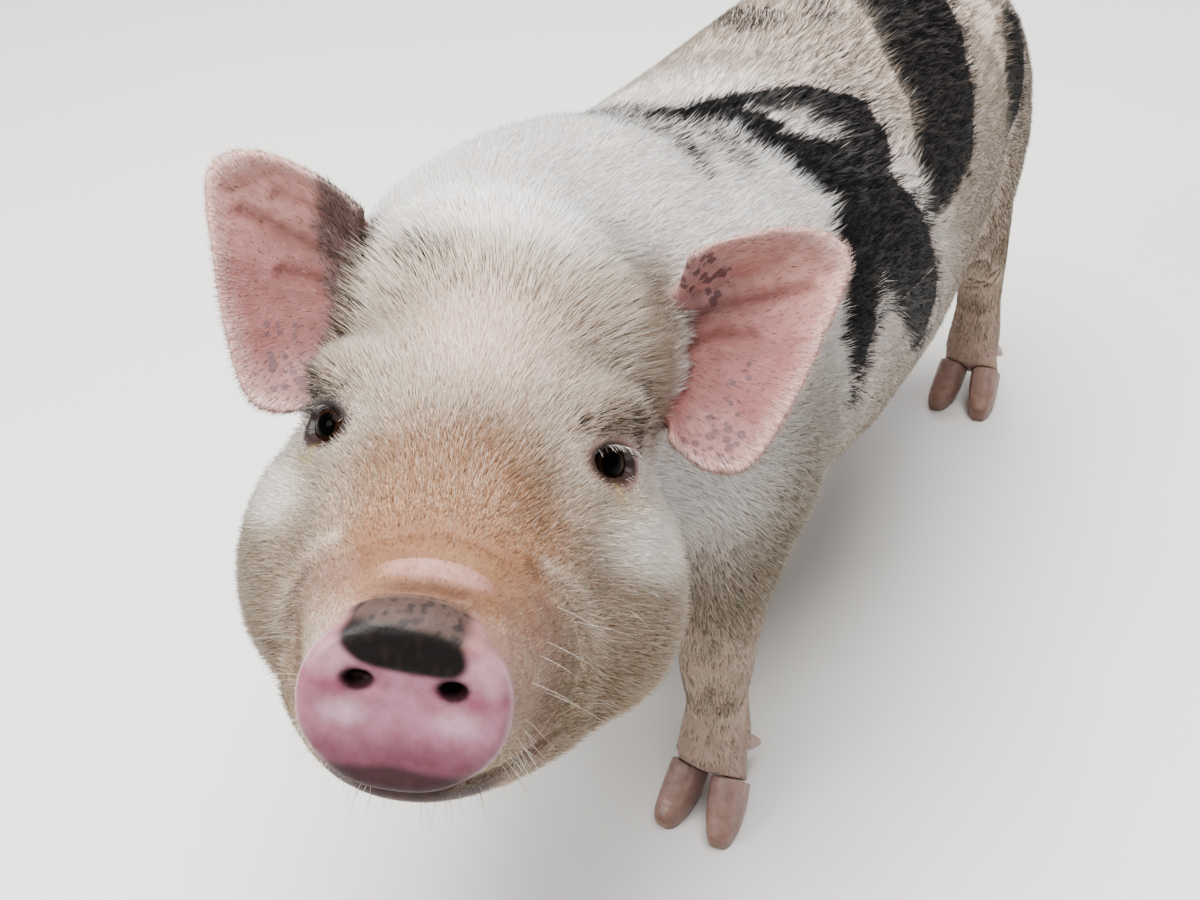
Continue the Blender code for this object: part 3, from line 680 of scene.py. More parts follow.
def shape_head(obj):
    """Clears the cups of the ears, rolls their rims and raises the brows, pouches and cheeks."""
    place = head_frame()
    points = local(read_points(obj), place)
    normals = in_head_frame(read_normals(obj))
    for name, side in SIDES:
        reach, angle, sheet, across = ear_places(points, name, side)
        front = sheet - EAR_WALL / 2
        gap = np.clip(front - points[:, 1], 0, 0.030) * (points[:, 1] > front - 0.030)
        points[:, 1] += gap * (reach < 1.0) * smoothstep(across, 0.056, 0.062)
        near = (np.abs(points[:, 1] - sheet) < 0.006) & (across > 0.054)
        roll = np.exp(-(((reach - 0.95) / 0.07) ** 2)) * smoothstep(angle, -0.6, 0.6)
        points[:, 1] -= 0.0022 * roll * near
    for centre, radii, height in PAIRED_SWELLINGS:
        for side in (1, -1):
            points = swell(points, normals, (side * centre[0], *centre[1:]), radii, height)
    for centre, radii, height in SINGLE_SWELLINGS:
        points = swell(points, normals, centre, radii, height)
    points = points + unit(np.array((0, -0.8, 0.6))) * (CROWN_FILL * crown_share(points))[:, None]
    write_points(obj, open_lids(world(points, place)))


def mirrored_line(line):
    """A fold's line with its other half. One that starts on the middle goes on across it."""
    other = tuple((-x, y, z) for x, y, z in line)
    if line[0][0] == 0:
        return (tuple(reversed(other)) + line[1:],)
    return (line, other)


def shape_face(obj):
    """Folds, lips and the mouth's line, worked into the fine part of the skin."""
    place = head_frame()
    points = local(read_points(obj), place)
    normals = in_head_frame(read_normals(obj))
    for half, depth, width in FOLDS:
        for line in mirrored_line(half):
            points = crease(points, normals, line, depth, width)
    for name, side in SIDES:
        reach, _, sheet, across = ear_places(points, name, side)
        flat = ear_flat(points, across)
        near = (np.abs(points[:, 1] - sheet) < 0.005) & (reach < 1.0) & (across > 0.056)
        for line in EAR_CREASES:
            shifted = [(x, 0.0, z) for x, z in line]
            moved = crease(flat, normals, shifted, 0.0012, 0.0021) - flat
            points = np.where(near[:, None], moved + points, points)
    swing, over = mouth_height(points)
    front = (points[:, 1] < 0.02) & (np.abs(swing) < MOUTH_SWING)
    fade = smoothstep(MOUTH_SWING - np.abs(swing), 0, 18) * front
    corner = 1 - 0.6 * smoothstep(np.abs(swing), 35, 70)
    points = points + normals * (-0.0016 * np.exp(-((over / 0.0012) ** 2)) * fade * corner)[:, None]
    points = points + normals * (0.0008 * np.exp(-(((over + 0.0042) / 0.0026) ** 2)) * fade)[:, None]
    points = points + normals * (0.0008 * np.exp(-(((over - 0.0040) / 0.0024) ** 2)) * fade)[:, None]
    write_points(obj, world(points, place))


def oval(points, centre, radii, edge=0.25, ragged=0.0, scale=300, seed=1):
    """1 inside an ellipsoid, falling to 0 across its edge, which may be ragged."""
    away = np.linalg.norm((points - centre) / radii, axis=1)
    if ragged:
        away = away + ragged * waves(points, scale, seed)
    return 1 - smoothstep(away, 1 - edge, 1 + edge)


class Tones:
    """The colours of skin and hair at many points, laid on one layer after another."""

    def __init__(self, points, normals, shares):
        self.points = points
        self.normals = normals
        self.shares = shares
        self.head = local(points, head_frame())
        self.on_head = shares["head"]
        self.skin = self.plain(colours().skin)
        self.hair = self.plain(colours().white_hair)

    def plain(self, colour):
        """One colour at every point."""
        return np.tile(np.array(colour), (len(self.points), 1))

    def blend(self, one, two, share):
        """One colour passing into another by each point's share."""
        return mix(self.plain(one), two, share)

    def lay(self, share, skin=None, hair=None):
        """Lays a colour over the skin, the hair or both. Each comes with its strength."""
        if skin:
            self.skin = mix(self.skin, skin[0], skin[1] * share)
        if hair:
            self.hair = mix(self.hair, hair[0], hair[1] * share)


def body_tones(tones):
    """Duller and creamier hair low on the body, on the legs and over the back, partly dirt and partly
    painted shade, deepest on the hind legs under the body.
    """
    _, y, z = tones.points.T
    off_head = 1 - tones.on_head
    # Low on the body and over the back, the darker cream is partly dirt and partly painted shade.
    low = 1 - smoothstep(z + 0.02 * waves(tones.points, 45, 4), 0.13, 0.285)
    far = smoothstep(y + 0.02 * waves(tones.points, 40, 19), -0.01, 0.13)
    tones.lay(far * off_head, hair=((0.45, 0.385, 0.295), 0.90))
    tones.lay(low * off_head, hair=(colours().cream_hair, 0.96))
    # Painted shade on the hind legs and belly under the body.
    tones.lay(smoothstep(y, 0.08, 0.24) * low, hair=((0.15, 0.120, 0.066), 0.8))
    tones.lay(np.maximum(low, 0.5 * far) * off_head, skin=((0.34, 0.22, 0.15), 0.8))


# Soft patches of the face: centre and radii in the head's frame and the sides that have them, then the
# skin's colour and the hair's, each with its strength.
FACE_PATCHES = (
    ((0.002, 0.010, 0.030), (0.024, 0.026, 0.022), (1,),
     ((0.66, 0.40, 0.32), 0.7), ((0.95, 0.75, 0.66), 0.8)),
    ((0.045, -0.030, -0.050), (0.040, 0.045, 0.040), (1,),
     ((0.28, 0.17, 0.11), 0.7), ((0.44, 0.345, 0.25), 0.5)),
    ((0.052, -0.020, -0.040), (0.030, 0.050, 0.040), (-1,),
     ((0.26, 0.17, 0.12), 0.7), ((0.42, 0.34, 0.25), 0.6)),
    ((0.058, -0.008, -0.0225), (0.018, 0.024, 0.0105), (1, -1),
     ((0.62, 0.52, 0.46), 0.8), ((1.0, 0.96, 0.90), 0.97)),
    ((0.048, 0.003, 0.0125), (0.018, 0.018, 0.0085), (1, -1), None, ((0.38, 0.29, 0.22), 0.55)),
    ((0.062, 0.018, -0.006), (0.012, 0.020, 0.016), (1, -1), None, ((0.80, 0.78, 0.76), 0.6)),
)
# A trace of ochre dust across the nose, in the head's frame.
OCHRE_LINE = ((-0.016, -0.078, -0.025), (0.004, -0.074, -0.021), (0.026, -0.070, -0.034))


def face_tones(tones):
    """Cream forehead, duller cheeks, bright strips below the eyes and tan dust down the bridge."""
    _, forward, height = tones.head.T
    drift = 0.005 * waves(tones.head, 90, 6)
    crown = (1 - smoothstep(height + drift, 0.050, 0.074)) * (1 - smoothstep(forward + drift, 0.036, 0.064))
    tones.lay(crown * tones.on_head, ((0.33, 0.21, 0.15), 1.0), ((0.60, 0.51, 0.41), 0.85))
    cheek = smoothstep(-height, 0.025, 0.075) * tones.on_head
    tones.lay(cheek, ((0.22, 0.14, 0.085), 0.85), ((0.42, 0.32, 0.215), 0.85))
    for centre, radii, sides, skin, hair in FACE_PATCHES:
        for side in sides:
            tones.lay(oval(tones.head, (side * centre[0], *centre[1:]), radii, 0.6), skin, hair)
    away = np.linalg.norm((tones.head - (0.002, -0.050, -0.020)) / (0.038, 0.060, 0.044), axis=1)
    dust = (1 - smoothstep(away + 0.10 * waves(tones.head, 140, 5), 0.55, 1.22)) * tones.on_head
    dust = dust * (1 - 0.45 * oval(tones.head, (0.0, -0.002, 0.016), (0.016, 0.016, 0.014), 0.5))
    tones.lay(dust, (np.array(colours().dust) * (0.60, 0.47, 0.36), 0.92), (colours().dust, 0.85))
    near = dust * (1 - smoothstep(forward, -0.072, -0.044))
    tones.lay(near, ((0.155, 0.065, 0.028), 0.70), ((0.190, 0.090, 0.042), 0.80))
    tones.bald = 0.72 * near
    for stroke in MUZZLE_SIDES:
        depth = stroke_depth(tones.head, stroke) + 0.0024 * waves(tones.head, 420, 18)
        muzzle = smoothstep(depth, -0.007, 0.004) * tones.on_head
        tones.lay(muzzle, ((0.20, 0.102, 0.076), 0.85), ((0.29, 0.175, 0.120), 0.75))
        tones.bald = np.maximum(tones.bald, 0.40 * muzzle)
    ochre = np.exp(-((line_gap(tones.head, OCHRE_LINE) / 0.005) ** 2))
    tones.lay(ochre, ((0.31, 0.185, 0.085), 0.4), ((0.33, 0.205, 0.10), 0.4))
    for _, side in SIDES:
        root = oval(tones.head, (side * 0.055, 0.046, 0.042), (0.011, 0.020, 0.034), 0.5)
        root = root * (1 - tones.shares["ear"])
        tones.lay(root, ((0.26, 0.17, 0.12), 0.8), ((0.44, 0.355, 0.26), 0.75))
        # A painted highlight in pale skin and hair along the cheek's edge beside the muzzle.
        edge = line_gap(tones.head, [(side * x, y, z) for x, y, z in MUZZLE_EDGE_HIGHLIGHT]) / 0.0030
        tones.lay(np.exp(-(edge**2)) * tones.on_head, ((0.44, 0.30, 0.22), 0.40), ((0.85, 0.74, 0.62), 0.62))


def ear_tones(tones):
    """Pink cups with painted light at the top, painted shade low down, in the folds and at the deep point,
    freckles and paler rims, and the right ear's charcoal back.
    """
    ear = tones.shares["ear"]
    height = tones.head[:, 2]
    pink = tones.blend(colours().ear, (0.305, 0.128, 0.124), 0.5 + 0.4 * waves(tones.points, 90, 7))
    tones.lay(ear, (pink, 1.0))
    # Painted light at the top of the cups and painted shade low down.
    tones.lay(smoothstep(height, 0.044, 0.074) * ear, ((0.64, 0.34, 0.305), 0.80))
    tones.lay((1 - smoothstep(height, 0.010, 0.060)) * ear, ((0.20, 0.069, 0.064), 0.8))
    tones.freckle, tones.rims, pale = np.zeros((3, len(tones.points)))
    for name, side in SIDES:
        reach, _, _, across = ear_places(tones.head, name, side)
        mine = tones.shares[f"ear_{name}"]
        flat = ear_flat(tones.head, across)
        # Painted shade along the creases and at the cup's deep point.
        for line in EAR_CREASES[:2]:
            gap = line_gap(flat, [(x, 0.0, z) for x, z in line])
            tones.lay(np.exp(-((gap / 0.0036) ** 2)) * mine, ((0.17, 0.055, 0.045), 0.50))
        tones.lay((1 - smoothstep(reach, 0.18, 0.55)) * mine, ((0.26, 0.105, 0.085), 0.35))
        rim = smoothstep(reach, 0.80, 0.98) * mine
        tones.rims = np.maximum(tones.rims, rim)
        pale = np.maximum(pale, rim * (reach < 2.0))
        root = oval(flat, (0.060, 0, 0.064), (0.012, 1, 0.013), 0.35, 0.15)
        lobe = oval(flat, (0.070, 0, 0.006), (0.014, 1, 0.012), 0.35, 0.15)
        middle = oval(flat, (0.080, 0, 0.024), (0.009, 1, 0.016), 0.35)
        spots = np.maximum(np.maximum(root, lobe), np.maximum(0.80 * middle, 0.18))
        tones.freckle = np.maximum(tones.freckle, spots * mine)
        tones.lay(np.maximum(root, 0.6 * lobe) * mine, ((0.36, 0.23, 0.22), 0.5))
        if name == "right":
            depth = stroke_depth(flat, [(x, 0.0, z, radius) for x, z, radius in EAR_COAL])
            tones.coal = smoothstep(depth + 0.0012 * waves(tones.head, 500, 17), -0.0035, 0.0035) * mine
    tones.lay(pale, ((0.50, 0.26, 0.235), 0.5))
    behind = smoothstep(in_head_frame(tones.normals)[:, 1], -0.1, 0.5)
    tones.lay(tones.shares["ear_right"] * behind, ((0.20, 0.17, 0.165), 0.75))
    tones.lay(tones.coal, ((0.12, 0.095, 0.09), 0.9))
    tones.lay(ear, hair=(tones.blend((0.32, 0.165, 0.145), (0.66, 0.48, 0.445), pale), 1.0))


# Marks on both halves of the snout's disc in the head's frame: centre, radii, edge, colour and strength.
# They are the nostril's flush, the pale upper corner, a painted wet highlight below the nostril and its
# hole, dark with painted shade.
SNOUT_MARKS = (
    ((0.0150, -0.107, -0.0506), (0.0078, 0.02, 0.0040), 0.8, (0.17, 0.030, 0.060), 0.8),
    ((0.0205, -0.107, -0.0450), (0.0060, 0.02, 0.0050), 0.6, (0.48, 0.30, 0.34), 0.5),
    # A painted wet highlight below the nostril.
    ((0.0145, -0.109, -0.0580), (0.0050, 0.02, 0.0032), 0.7, (0.56, 0.40, 0.46), 0.42),
    # Painted shade in the nostril's hole.
    ((0.0122, -0.1065, -0.0500), (0.0044, 0.012, 0.0034), 0.35, (0.022, 0.005, 0.008), 1.0),
)


def snout_tones(tones):
    """Mauve and wet, with a black pad on the upper edge, and bare skin with a pale roll behind it."""
    x, y, z = tones.head.T
    mauve = np.array(colours().snout) * 0.75
    snout = tones.blend(mauve, (0.31, 0.140, 0.195), 0.5 + 0.5 * waves(tones.points, 180, 13))
    away = np.linalg.norm((tones.head - (0, -0.109, -0.057)) / (0.027, 1, 0.021), axis=1)
    snout = mix(snout, (0.25, 0.088, 0.122), 0.65 * smoothstep(away, 0.80, 1.04))
    dull = np.zeros(len(x))
    for _, side in SIDES:
        for centre, radii, edge, colour, strength in SNOUT_MARKS:
            mark = oval(tones.head, (side * centre[0], *centre[1:]), radii, edge)
            snout = mix(snout, colour, strength * mark)
        around = oval(tones.head, (side * 0.0122, -0.1065, -0.0505), (0.0064, 0.012, 0.0054), 0.3)
        dull = np.maximum(dull, around)
    # The top is grey brown and speckled as far as the pad.
    shoulder = smoothstep(z, -0.0420, -0.0370)
    snout = mix(snout, (0.33, 0.17, 0.165), 0.85 * shoulder)
    tilt = tones.head + (0, 0, 1) * (0.10 * tones.head[:, :1])
    middle = 1 - smoothstep(np.abs(x + 0.0008) + 0.0010 * waves(tones.head, 500, 14), 0.0130, 0.0180)
    top = smoothstep(tilt[:, 2] + 0.0006 * waves(tones.head, 700, 14), -0.0405, -0.0380) * middle
    crumbs = smoothstep(waves(tones.head, 1500, 16), 0.2, 0.9)
    speckled = tones.blend((0.062, 0.036, 0.029), (0.014, 0.009, 0.008), 0.85 * crumbs)
    snout = mix(snout, speckled, top)
    pad = oval(tilt, (-0.0012, -0.106, -0.0412), (0.0162, 0.020, 0.0062), 0.14, 0.07, 420, 15)
    snout = mix(snout, tones.blend((0.0030, 0.0016, 0.0013), (0.012, 0.006, 0.005), 0.6 * crumbs), pad)
    # The lower edge is notched and darker with painted shade, and nearly black where it meets the lip.
    notch_shade = z - 0.0030 * np.exp(-((x / 0.010) ** 2))
    snout = mix(snout, (0.13, 0.042, 0.062), 0.85 * (1 - smoothstep(notch_shade, -0.0705, -0.0600)))
    hem = 1 - smoothstep(z - 0.0012 * np.exp(-((x / 0.007) ** 2)), -0.0732, -0.0702)
    snout = mix(snout, (0.028, 0.009, 0.011), 0.94 * hem * (1 - smoothstep(np.abs(x), 0.014, 0.021)))
    front = tones.shares["disc"]
    tones.lay(front, (snout, 1.0))
    tones.bare = (1 - smoothstep(y, -0.092, -0.084)) * tones.on_head
    upper = smoothstep(z, -0.052, -0.042) * middle
    tones.lay(tones.bare * (1 - front) * upper, (speckled, 0.9))
    tones.lay(tones.bare * (1 - front) * (1 - upper), ((0.27, 0.135, 0.115), 0.8))
    roll = oval(tones.head, (0.004, -0.0805, -0.0245), (0.020, 0.0042, 0.006), 0.5)
    tones.lay(roll, ((0.44, 0.235, 0.205), 0.80))
    # Painted shade in the groove behind the disc.
    groove_shade = oval(tones.head, (0.003, -0.0868, -0.0292), (0.024, 0.0026, 0.0060), 0.5)
    tones.lay(groove_shade * (1 - front), ((0.13, 0.066, 0.052), 0.45))
    matte = np.maximum.reduce((0.85 * top * (1 - pad), 0.30 * pad, 0.4 * shoulder, 0.75 * dull, 0.85 * hem))
    tones.wet = front * (1 - matte)


def lip_tones(tones):
    """A dark purple band along the lower lip, a dark line of painted shade in the mouth's crease over it and
    paler hair on the chin.
    """
    swing, over = mouth_height(tones.head)
    forward = tones.head[:, 1]
    tones.lip = np.exp(-(((over + 0.0042) / 0.0044) ** 2)) * tones.on_head
    tones.lip = tones.lip * (1 - smoothstep(np.abs(swing - 2), 22, 48))
    tones.lay(tones.lip, ((0.022, 0.007, 0.009), 0.95))
    # Painted shade in the crease of the mouth's line.
    line = np.exp(-((over / 0.0013) ** 2)) * (1 - smoothstep(np.abs(swing), 60, 104)) * (forward < 0.02)
    tones.lay(line * tones.on_head, ((0.06, 0.03, 0.025), 0.45))
    chin = (1 - smoothstep(over, -0.012, -0.007)) * (1 - smoothstep(forward, -0.06, -0.02)) * tones.on_head
    tones.lay(chin, hair=((0.74, 0.68, 0.56), 0.8))
    tones.wet = np.maximum(tones.wet, 0.3 * tones.lip)


def lid_tones(tones):
    """Dark edges, painted shade in the fold below each eye, pinkish corners, charcoal round the right eye,
    partly dark skin and partly painted shade, and a yellow trace below each eye.
    """
    tones.lids = np.zeros(len(tones.points))
    for side, spots, ring in lid_places(tones.points):
        x, _, z = (spots * (side, 1, 1)).T
        near = ring < 9
        tone = tones.blend((0.13, 0.078, 0.060), (0.22, 0.120, 0.118), smoothstep(x, -0.002, 0.006))
        # Round the right eye the dark is partly dark skin and partly painted shade, reaching furthest above
        # the eye.
        if side < 0:
            tones.lay(1 - smoothstep(ring - 60 * z, 1.6, 3.4), ((0.030, 0.024, 0.024), 0.9))
            tone = tones.plain((0.026, 0.020, 0.020))
        tones.lay(1 - smoothstep(ring, 1.3, 2.5), (tone, 0.85))
        tones.lay(1 - smoothstep(ring, 1.12, 1.45), ((0.020, 0.010, 0.009), 0.92))
        # Painted shade in the fold below the eye.
        fold = np.exp(-(((z + 0.0085) / 0.0016) ** 2 + ((x + 0.002) / 0.008) ** 4)) * near
        tones.lay(fold, ((0.06, 0.035, 0.028), 0.7))
        spot = oval(spots, (0.0075, -0.006, -0.0135), (0.0045, 0.01, 0.0030), 0.5) * (side > 0)
        tones.lay(spot, ((0.26, 0.14, 0.11), 0.7))
        aside = (x + 0.0020 - 0.35 * (z + 0.011)) / 0.0017
        trace = np.exp(-(aside**2 + ((z + 0.0118) / 0.0032) ** 2)) * near
        tones.lay(trace, ((0.62, 0.46, 0.07), 0.85), ((0.60, 0.46, 0.10), 0.8))
        tones.lids = np.maximum.reduce((tones.lids, 1 - smoothstep(ring, 1.30, 1.85), 0.6 * spot))
        tones.wet = np.maximum(tones.wet, 0.9 * (1 - smoothstep(ring, 1.0, 1.35)))


def dark_places(tones):
    """How deep each point lies in a black patch, and its share of dark hairs in the smoky places."""
    points = tones.points
    depth = np.full(len(points), -1.0)
    for stroke in BLACK_PATCHES:
        depth = np.maximum(depth, stroke_depth(points, stroke))
    for stroke in WHITE_STREAKS:
        depth = np.minimum(depth, -stroke_depth(points, stroke))
    coarse = 0.0024 * waves(points * (1, 0.40, 1), 420, 9)
    depth = depth + coarse + 0.0016 * waves(points * (1, 0.28, 1), 1200, 11)
    smoky = 0.72 * tones.coal
    for strokes, spots in ((SMOKY_PATCHES, points), (SMOKY_HEAD, tones.head)):
        for share, stroke in strokes:
            inside = smoothstep(stroke_depth(spots, stroke) + 0.0015 * waves(spots, 600, 12), -0.005, 0.004)
            smoky = np.maximum(smoky, share * inside)
    return depth * (1 - tones.on_head) - 0.02 * tones.on_head, smoky


def markings(points, normals, shares):
    """The pig's colours at any points: skin, hair, wetness, freckles, hairiness and dark patches."""
    tones = Tones(points, normals, shares)
    for paint in (body_tones, face_tones, ear_tones, snout_tones, lip_tones, lid_tones):
        paint(tones)
    tones.lay(shares["foot"], ((0.36, 0.225, 0.19), 0.8), ((0.42, 0.30, 0.24), 0.6))
    depth, smoky = dark_places(tones)
    bare_ear = 0.88 * shares["ear"] * (1 - np.maximum(tones.rims * 0.75, tones.coal))
    hairy = (1 - bare_ear) * (1 - shares["disc"])
    for share in (tones.lids, tones.lip, 0.92 * tones.bare, tones.bald, 0.2 * shares["foot"]):
        hairy = hairy * (1 - share)
    return {
        "skin_colour": np.clip(tones.skin, 0, 1),
        "hair_colour": np.clip(tones.hair, 0, 1),
        "wet": np.clip(tones.wet, 0, 1),
        "freckle": tones.freckle,
        "hairy": np.clip(hairy, 0, 1),
        "patch": depth,
        "smoky": smoky,
        "grain": np.clip(np.maximum(hairy, 0.55 * shares["ear"]), 0, 1),
    }


def hair_flow(points, normals, shares):
    """The lie of the coat: back along the body, up and outward over the face, down the legs."""
    place = head_frame()
    head = local(points, place)
    back = np.tile((0.0, 1.0, -0.12), (len(points), 1))
    back[:, 2] -= 0.9 * (1 - smoothstep(points[:, 2], 0.14, 0.27))
    back[:, 0] += 0.25 * np.tanh(points[:, 0] / 0.03) * smoothstep(points[:, 2], 0.24, 0.29)
    back[:, 2] -= 1.3 * smoothstep(normals[:, 1], 0.15, 0.75)
    face = np.stack([head[:, 0] * 16, 0.9 + 0 * head[:, 0], 0.35 + 0 * head[:, 0]], axis=1)
    cheek = smoothstep(np.abs(head[:, 0]), 0.030, 0.052) * (1 - smoothstep(head[:, 2], -0.03, 0.02))
    face[:, 2] -= 0.55 * cheek
    face[:, 2] -= 0.4 * (1 - smoothstep(head[:, 2], -0.095, -0.070))
    face = turned(face, place)
    down = np.tile((0.0, 0.15, -1.0), (len(points), 1))
    flow = mix(back, face, shares["head"])
    flow = mix(flow, down, shares["leg"])
    for name, side in SIDES:
        root = np.array((side * 0.052, 0.062, 0.036))
        outward = turned(head - root, place)
        flow = mix(flow, unit(outward), shares[f"ear_{name}"])
    tail = np.tile((0.0, 0.1, -1.0), (len(points), 1))
    flow = mix(flow, tail, shares["tail"])
    swirl = np.stack([waves(points, 130, seed) for seed in (21, 22, 23)], axis=1)
    flow = unit(flow) + 0.16 * swirl
    flow = flow - normals * np.sum(flow * normals, axis=1, keepdims=True)
    return unit(flow)


def hair_length(points, shares):
    size = sizes()
    head = local(points, head_frame())
    body = size.body_length * (1 + 0.12 * smoothstep(points[:, 2], 0.25, 0.29))
    body = body + (HUMP_LENGTH - body) * shares["fine"]
    face = 0.26 + 0.74 * smoothstep(head[:, 1], -0.085, 0.000) + 0.45 * crown_share(head)
    face = size.head_length * face
    length = body + (face - body) * shares["head"]
    for name, value in HAIR_LENGTHS:
        length = length + (value - length) * shares[name]
    for _, _, ring in lid_places(points):
        length = length * (0.5 + 0.5 * smoothstep(ring, 1.6, 3.0))
    return length


def comb_places(points, shares):
    """Coordinates whose Y runs with the hair, for the fine streaks on the skin."""
    head = local(points, head_frame())
    legs = np.stack([points[:, 0], -points[:, 2], points[:, 1]], axis=1)
    comb = mix(mix(points, head, shares["head"]), legs, shares["leg"])
    for name, side in SIDES:
        reach, angle, _, _ = ear_places(head, name, side)
        radial = np.stack([angle * 0.045, np.minimum(reach, 2) * 0.05, 0 * angle], axis=1)
        comb = mix(comb, radial, np.round(shares[f"ear_{name}"]))
    return comb


class Shader:
    """A material's nodes. Each method adds one and gives what it puts out."""

    def __init__(self, name):
        self.material = bpy.data.materials.new(name)
        self.material.use_nodes = True
        self.tree = self.material.node_tree
        self.surface = self.tree.nodes["Principled BSDF"].inputs
        self.place = self.tree.nodes.new("ShaderNodeTexCoord").outputs["Object"]

    def feed(self, socket, value):
        """Sets a socket, or links it where the value comes from another node."""
        if isinstance(value, bpy.types.NodeSocket):
            self.tree.links.new(value, socket)
        else:
            socket.default_value = (*value, 1) if socket.type == "RGBA" else value

    def attribute(self, name, kind="Fac"):
        node = self.tree.nodes.new("ShaderNodeAttribute")
        node.attribute_name = name
        return node.outputs[kind]

    def noise(self, scale, detail, vector=None):
        node = self.tree.nodes.new("ShaderNodeTexNoise")
        node.inputs["Scale"].default_value = scale
        node.inputs["Detail"].default_value = detail
        self.feed(node.inputs["Vector"], vector or self.place)
        return node.outputs["Fac"]

    def cells(self, scale):
        """How far each place lies from the nearest of many scattered points."""
        node = self.tree.nodes.new("ShaderNodeTexVoronoi")
        node.inputs["Scale"].default_value = scale
        self.feed(node.inputs["Vector"], self.place)
        return node.outputs["Distance"]

    def scaled(self, vector, scale):
        node = self.tree.nodes.new("ShaderNodeMapping")
        node.inputs["Scale"].default_value = scale
        self.feed(node.inputs["Vector"], vector)
        return node.outputs["Vector"]

    def ramp(self, value, *stops):
        """A value turned into a colour. A stop that gives one number means a grey."""
        stops = [(place, tuple(tone) if hasattr(tone, "__len__") else (tone,) * 3) for place, tone in stops]
        node = self.tree.nodes.new("ShaderNodeValToRGB")
        for element, (place, colour) in zip(node.color_ramp.elements, (stops[0], stops[-1])):
            element.position = place
            element.color = (*colour, 1)
        for place, colour in stops[1:-1]:
            node.color_ramp.elements.new(place).color = (*colour, 1)
        self.feed(node.inputs["Fac"], value)
        return node.outputs["Color"]

    def blend(self, kind, share, one, two):
        node = self.tree.nodes.new("ShaderNodeMix")
        node.data_type = "RGBA"
        node.blend_type = kind
        for socket, value in ((0, share), (6, one), (7, two)):
            self.feed(node.inputs[socket], value)
        return node.outputs[2]

    def arithmetic(self, kind, one, two):
        node = self.tree.nodes.new("ShaderNodeMath")
        node.operation = kind
        self.feed(node.inputs[0], one)
        self.feed(node.inputs[1], two)
        return node.outputs[0]

    def bump(self, height, strength, distance):
        node = self.tree.nodes.new("ShaderNodeBump")
        node.inputs["Strength"].default_value = strength
        node.inputs["Distance"].default_value = distance
        self.feed(node.inputs["Height"], height)
        self.feed(self.surface["Normal"], node.outputs["Normal"])

    def finish(self, colour, roughness, specular=0.5):
        self.feed(self.surface["Base Color"], colour)
        self.feed(self.surface["Roughness"], roughness)
        self.surface["Specular IOR Level"].default_value = specular
        return self.material


def dimmed(colour, share):
    return tuple(share * value for value in colour)


def freckled(shader, colour):
    """Ragged dark spots where the skin's freckle attribute is high."""
    ragged = shader.arithmetic("MULTIPLY", shader.noise(900.0, 3.0), 0.5)
    spread = shader.arithmetic("ADD", shader.cells(235.0), ragged)
    limit = shader.arithmetic("MULTIPLY", shader.attribute("freckle"), 0.74)
    inside = shader.arithmetic("SUBTRACT", limit, spread)
    return shader.blend("MIX", shader.ramp(inside, (0.0, 0.0), (0.10, 0.86)), colour, (0.095, 0.052, 0.058))


def patched(shader, colour, streaks):
    """The smoky places and the black patches, with the ragged edge that combed hair gives them."""
    smoke = shader.arithmetic("MULTIPLY", shader.attribute("smoky"), streaks)
    colour = shader.blend("MIX", smoke, colour, (0.03, 0.026, 0.026))
    depth = shader.arithmetic("MULTIPLY", shader.attribute("patch"), 160.0)
    black = shader.ramp(shader.arithmetic("ADD", depth, streaks), (0.30, 0.0), (0.75, 0.97))
    return shader.blend("MIX", black, colour, dimmed(colours().black_hair, 1.3))


def skin_material():
    shader = Shader("pig_skin")
    # Fine streaks that run with the hair, ten times as long as they are wide.
    comb = shader.scaled(shader.attribute("comb", "Vector"), (1500, 150, 1500))
    streaks = shader.noise(1.0, 3.0, comb)
    cover = shader.ramp(streaks, (0.40, 0.0), (0.62, 0.85))
    cover = shader.arithmetic("MULTIPLY", cover, shader.attribute("hairy"))
    mottled = shader.ramp(shader.noise(260.0, 4.0), (0.3, (0.78, 0.70, 0.68)), (0.7, 1.04))
    colour = shader.blend("MULTIPLY", 1.0, shader.attribute("skin_colour", "Color"), mottled)
    colour = shader.blend("MIX", cover, freckled(shader, colour), shader.attribute("hair_colour", "Color"))
    wet = shader.attribute("wet")
    fine = shader.arithmetic("MULTIPLY", shader.noise(1400.0, 2.0), 0.12)
    rough = shader.arithmetic("ADD", shader.ramp(wet, (0.0, 0.62), (1.0, 0.26)), fine)
    combed = shader.arithmetic("MULTIPLY", streaks, shader.attribute("grain"))
    pores = shader.arithmetic("MULTIPLY", shader.cells(900.0), shader.ramp(wet, (0.0, 0.30), (1.0, 0.05)))
    shader.bump(shader.arithmetic("ADD", combed, pores), 0.6, 0.0006)
    shader.surface["Subsurface Weight"].default_value = 0.12
    shader.surface["Subsurface Scale"].default_value = 0.004
    shader.surface["Subsurface Radius"].default_value = (1.0, 0.35, 0.22)
    return shader.finish(patched(shader, colour, streaks), rough, 0.26)


def hair_material():
    shader = Shader("pig_hair")
    # Painted shade at each tuft's root and a painted highlight at its tip.
    tone = shader.ramp(shader.attribute("along"), (0.0, (0.78, 0.75, 0.71)), (0.45, 1.0), (1.0, 1.08))
    colour = shader.blend("MULTIPLY", 1.0, shader.attribute("hair_colour", "Color"), tone)
    return shader.finish(colour, shader.ramp(shader.noise(900.0, 2.0), (0.3, 0.42), (0.7, 0.58)), 0.04)


def set_bake_map(obj, places):
    layer = obj.data.uv_layers.new(name="OFBake")
    layer.uv.foreach_set("vector", places.astype(np.float32).ravel())


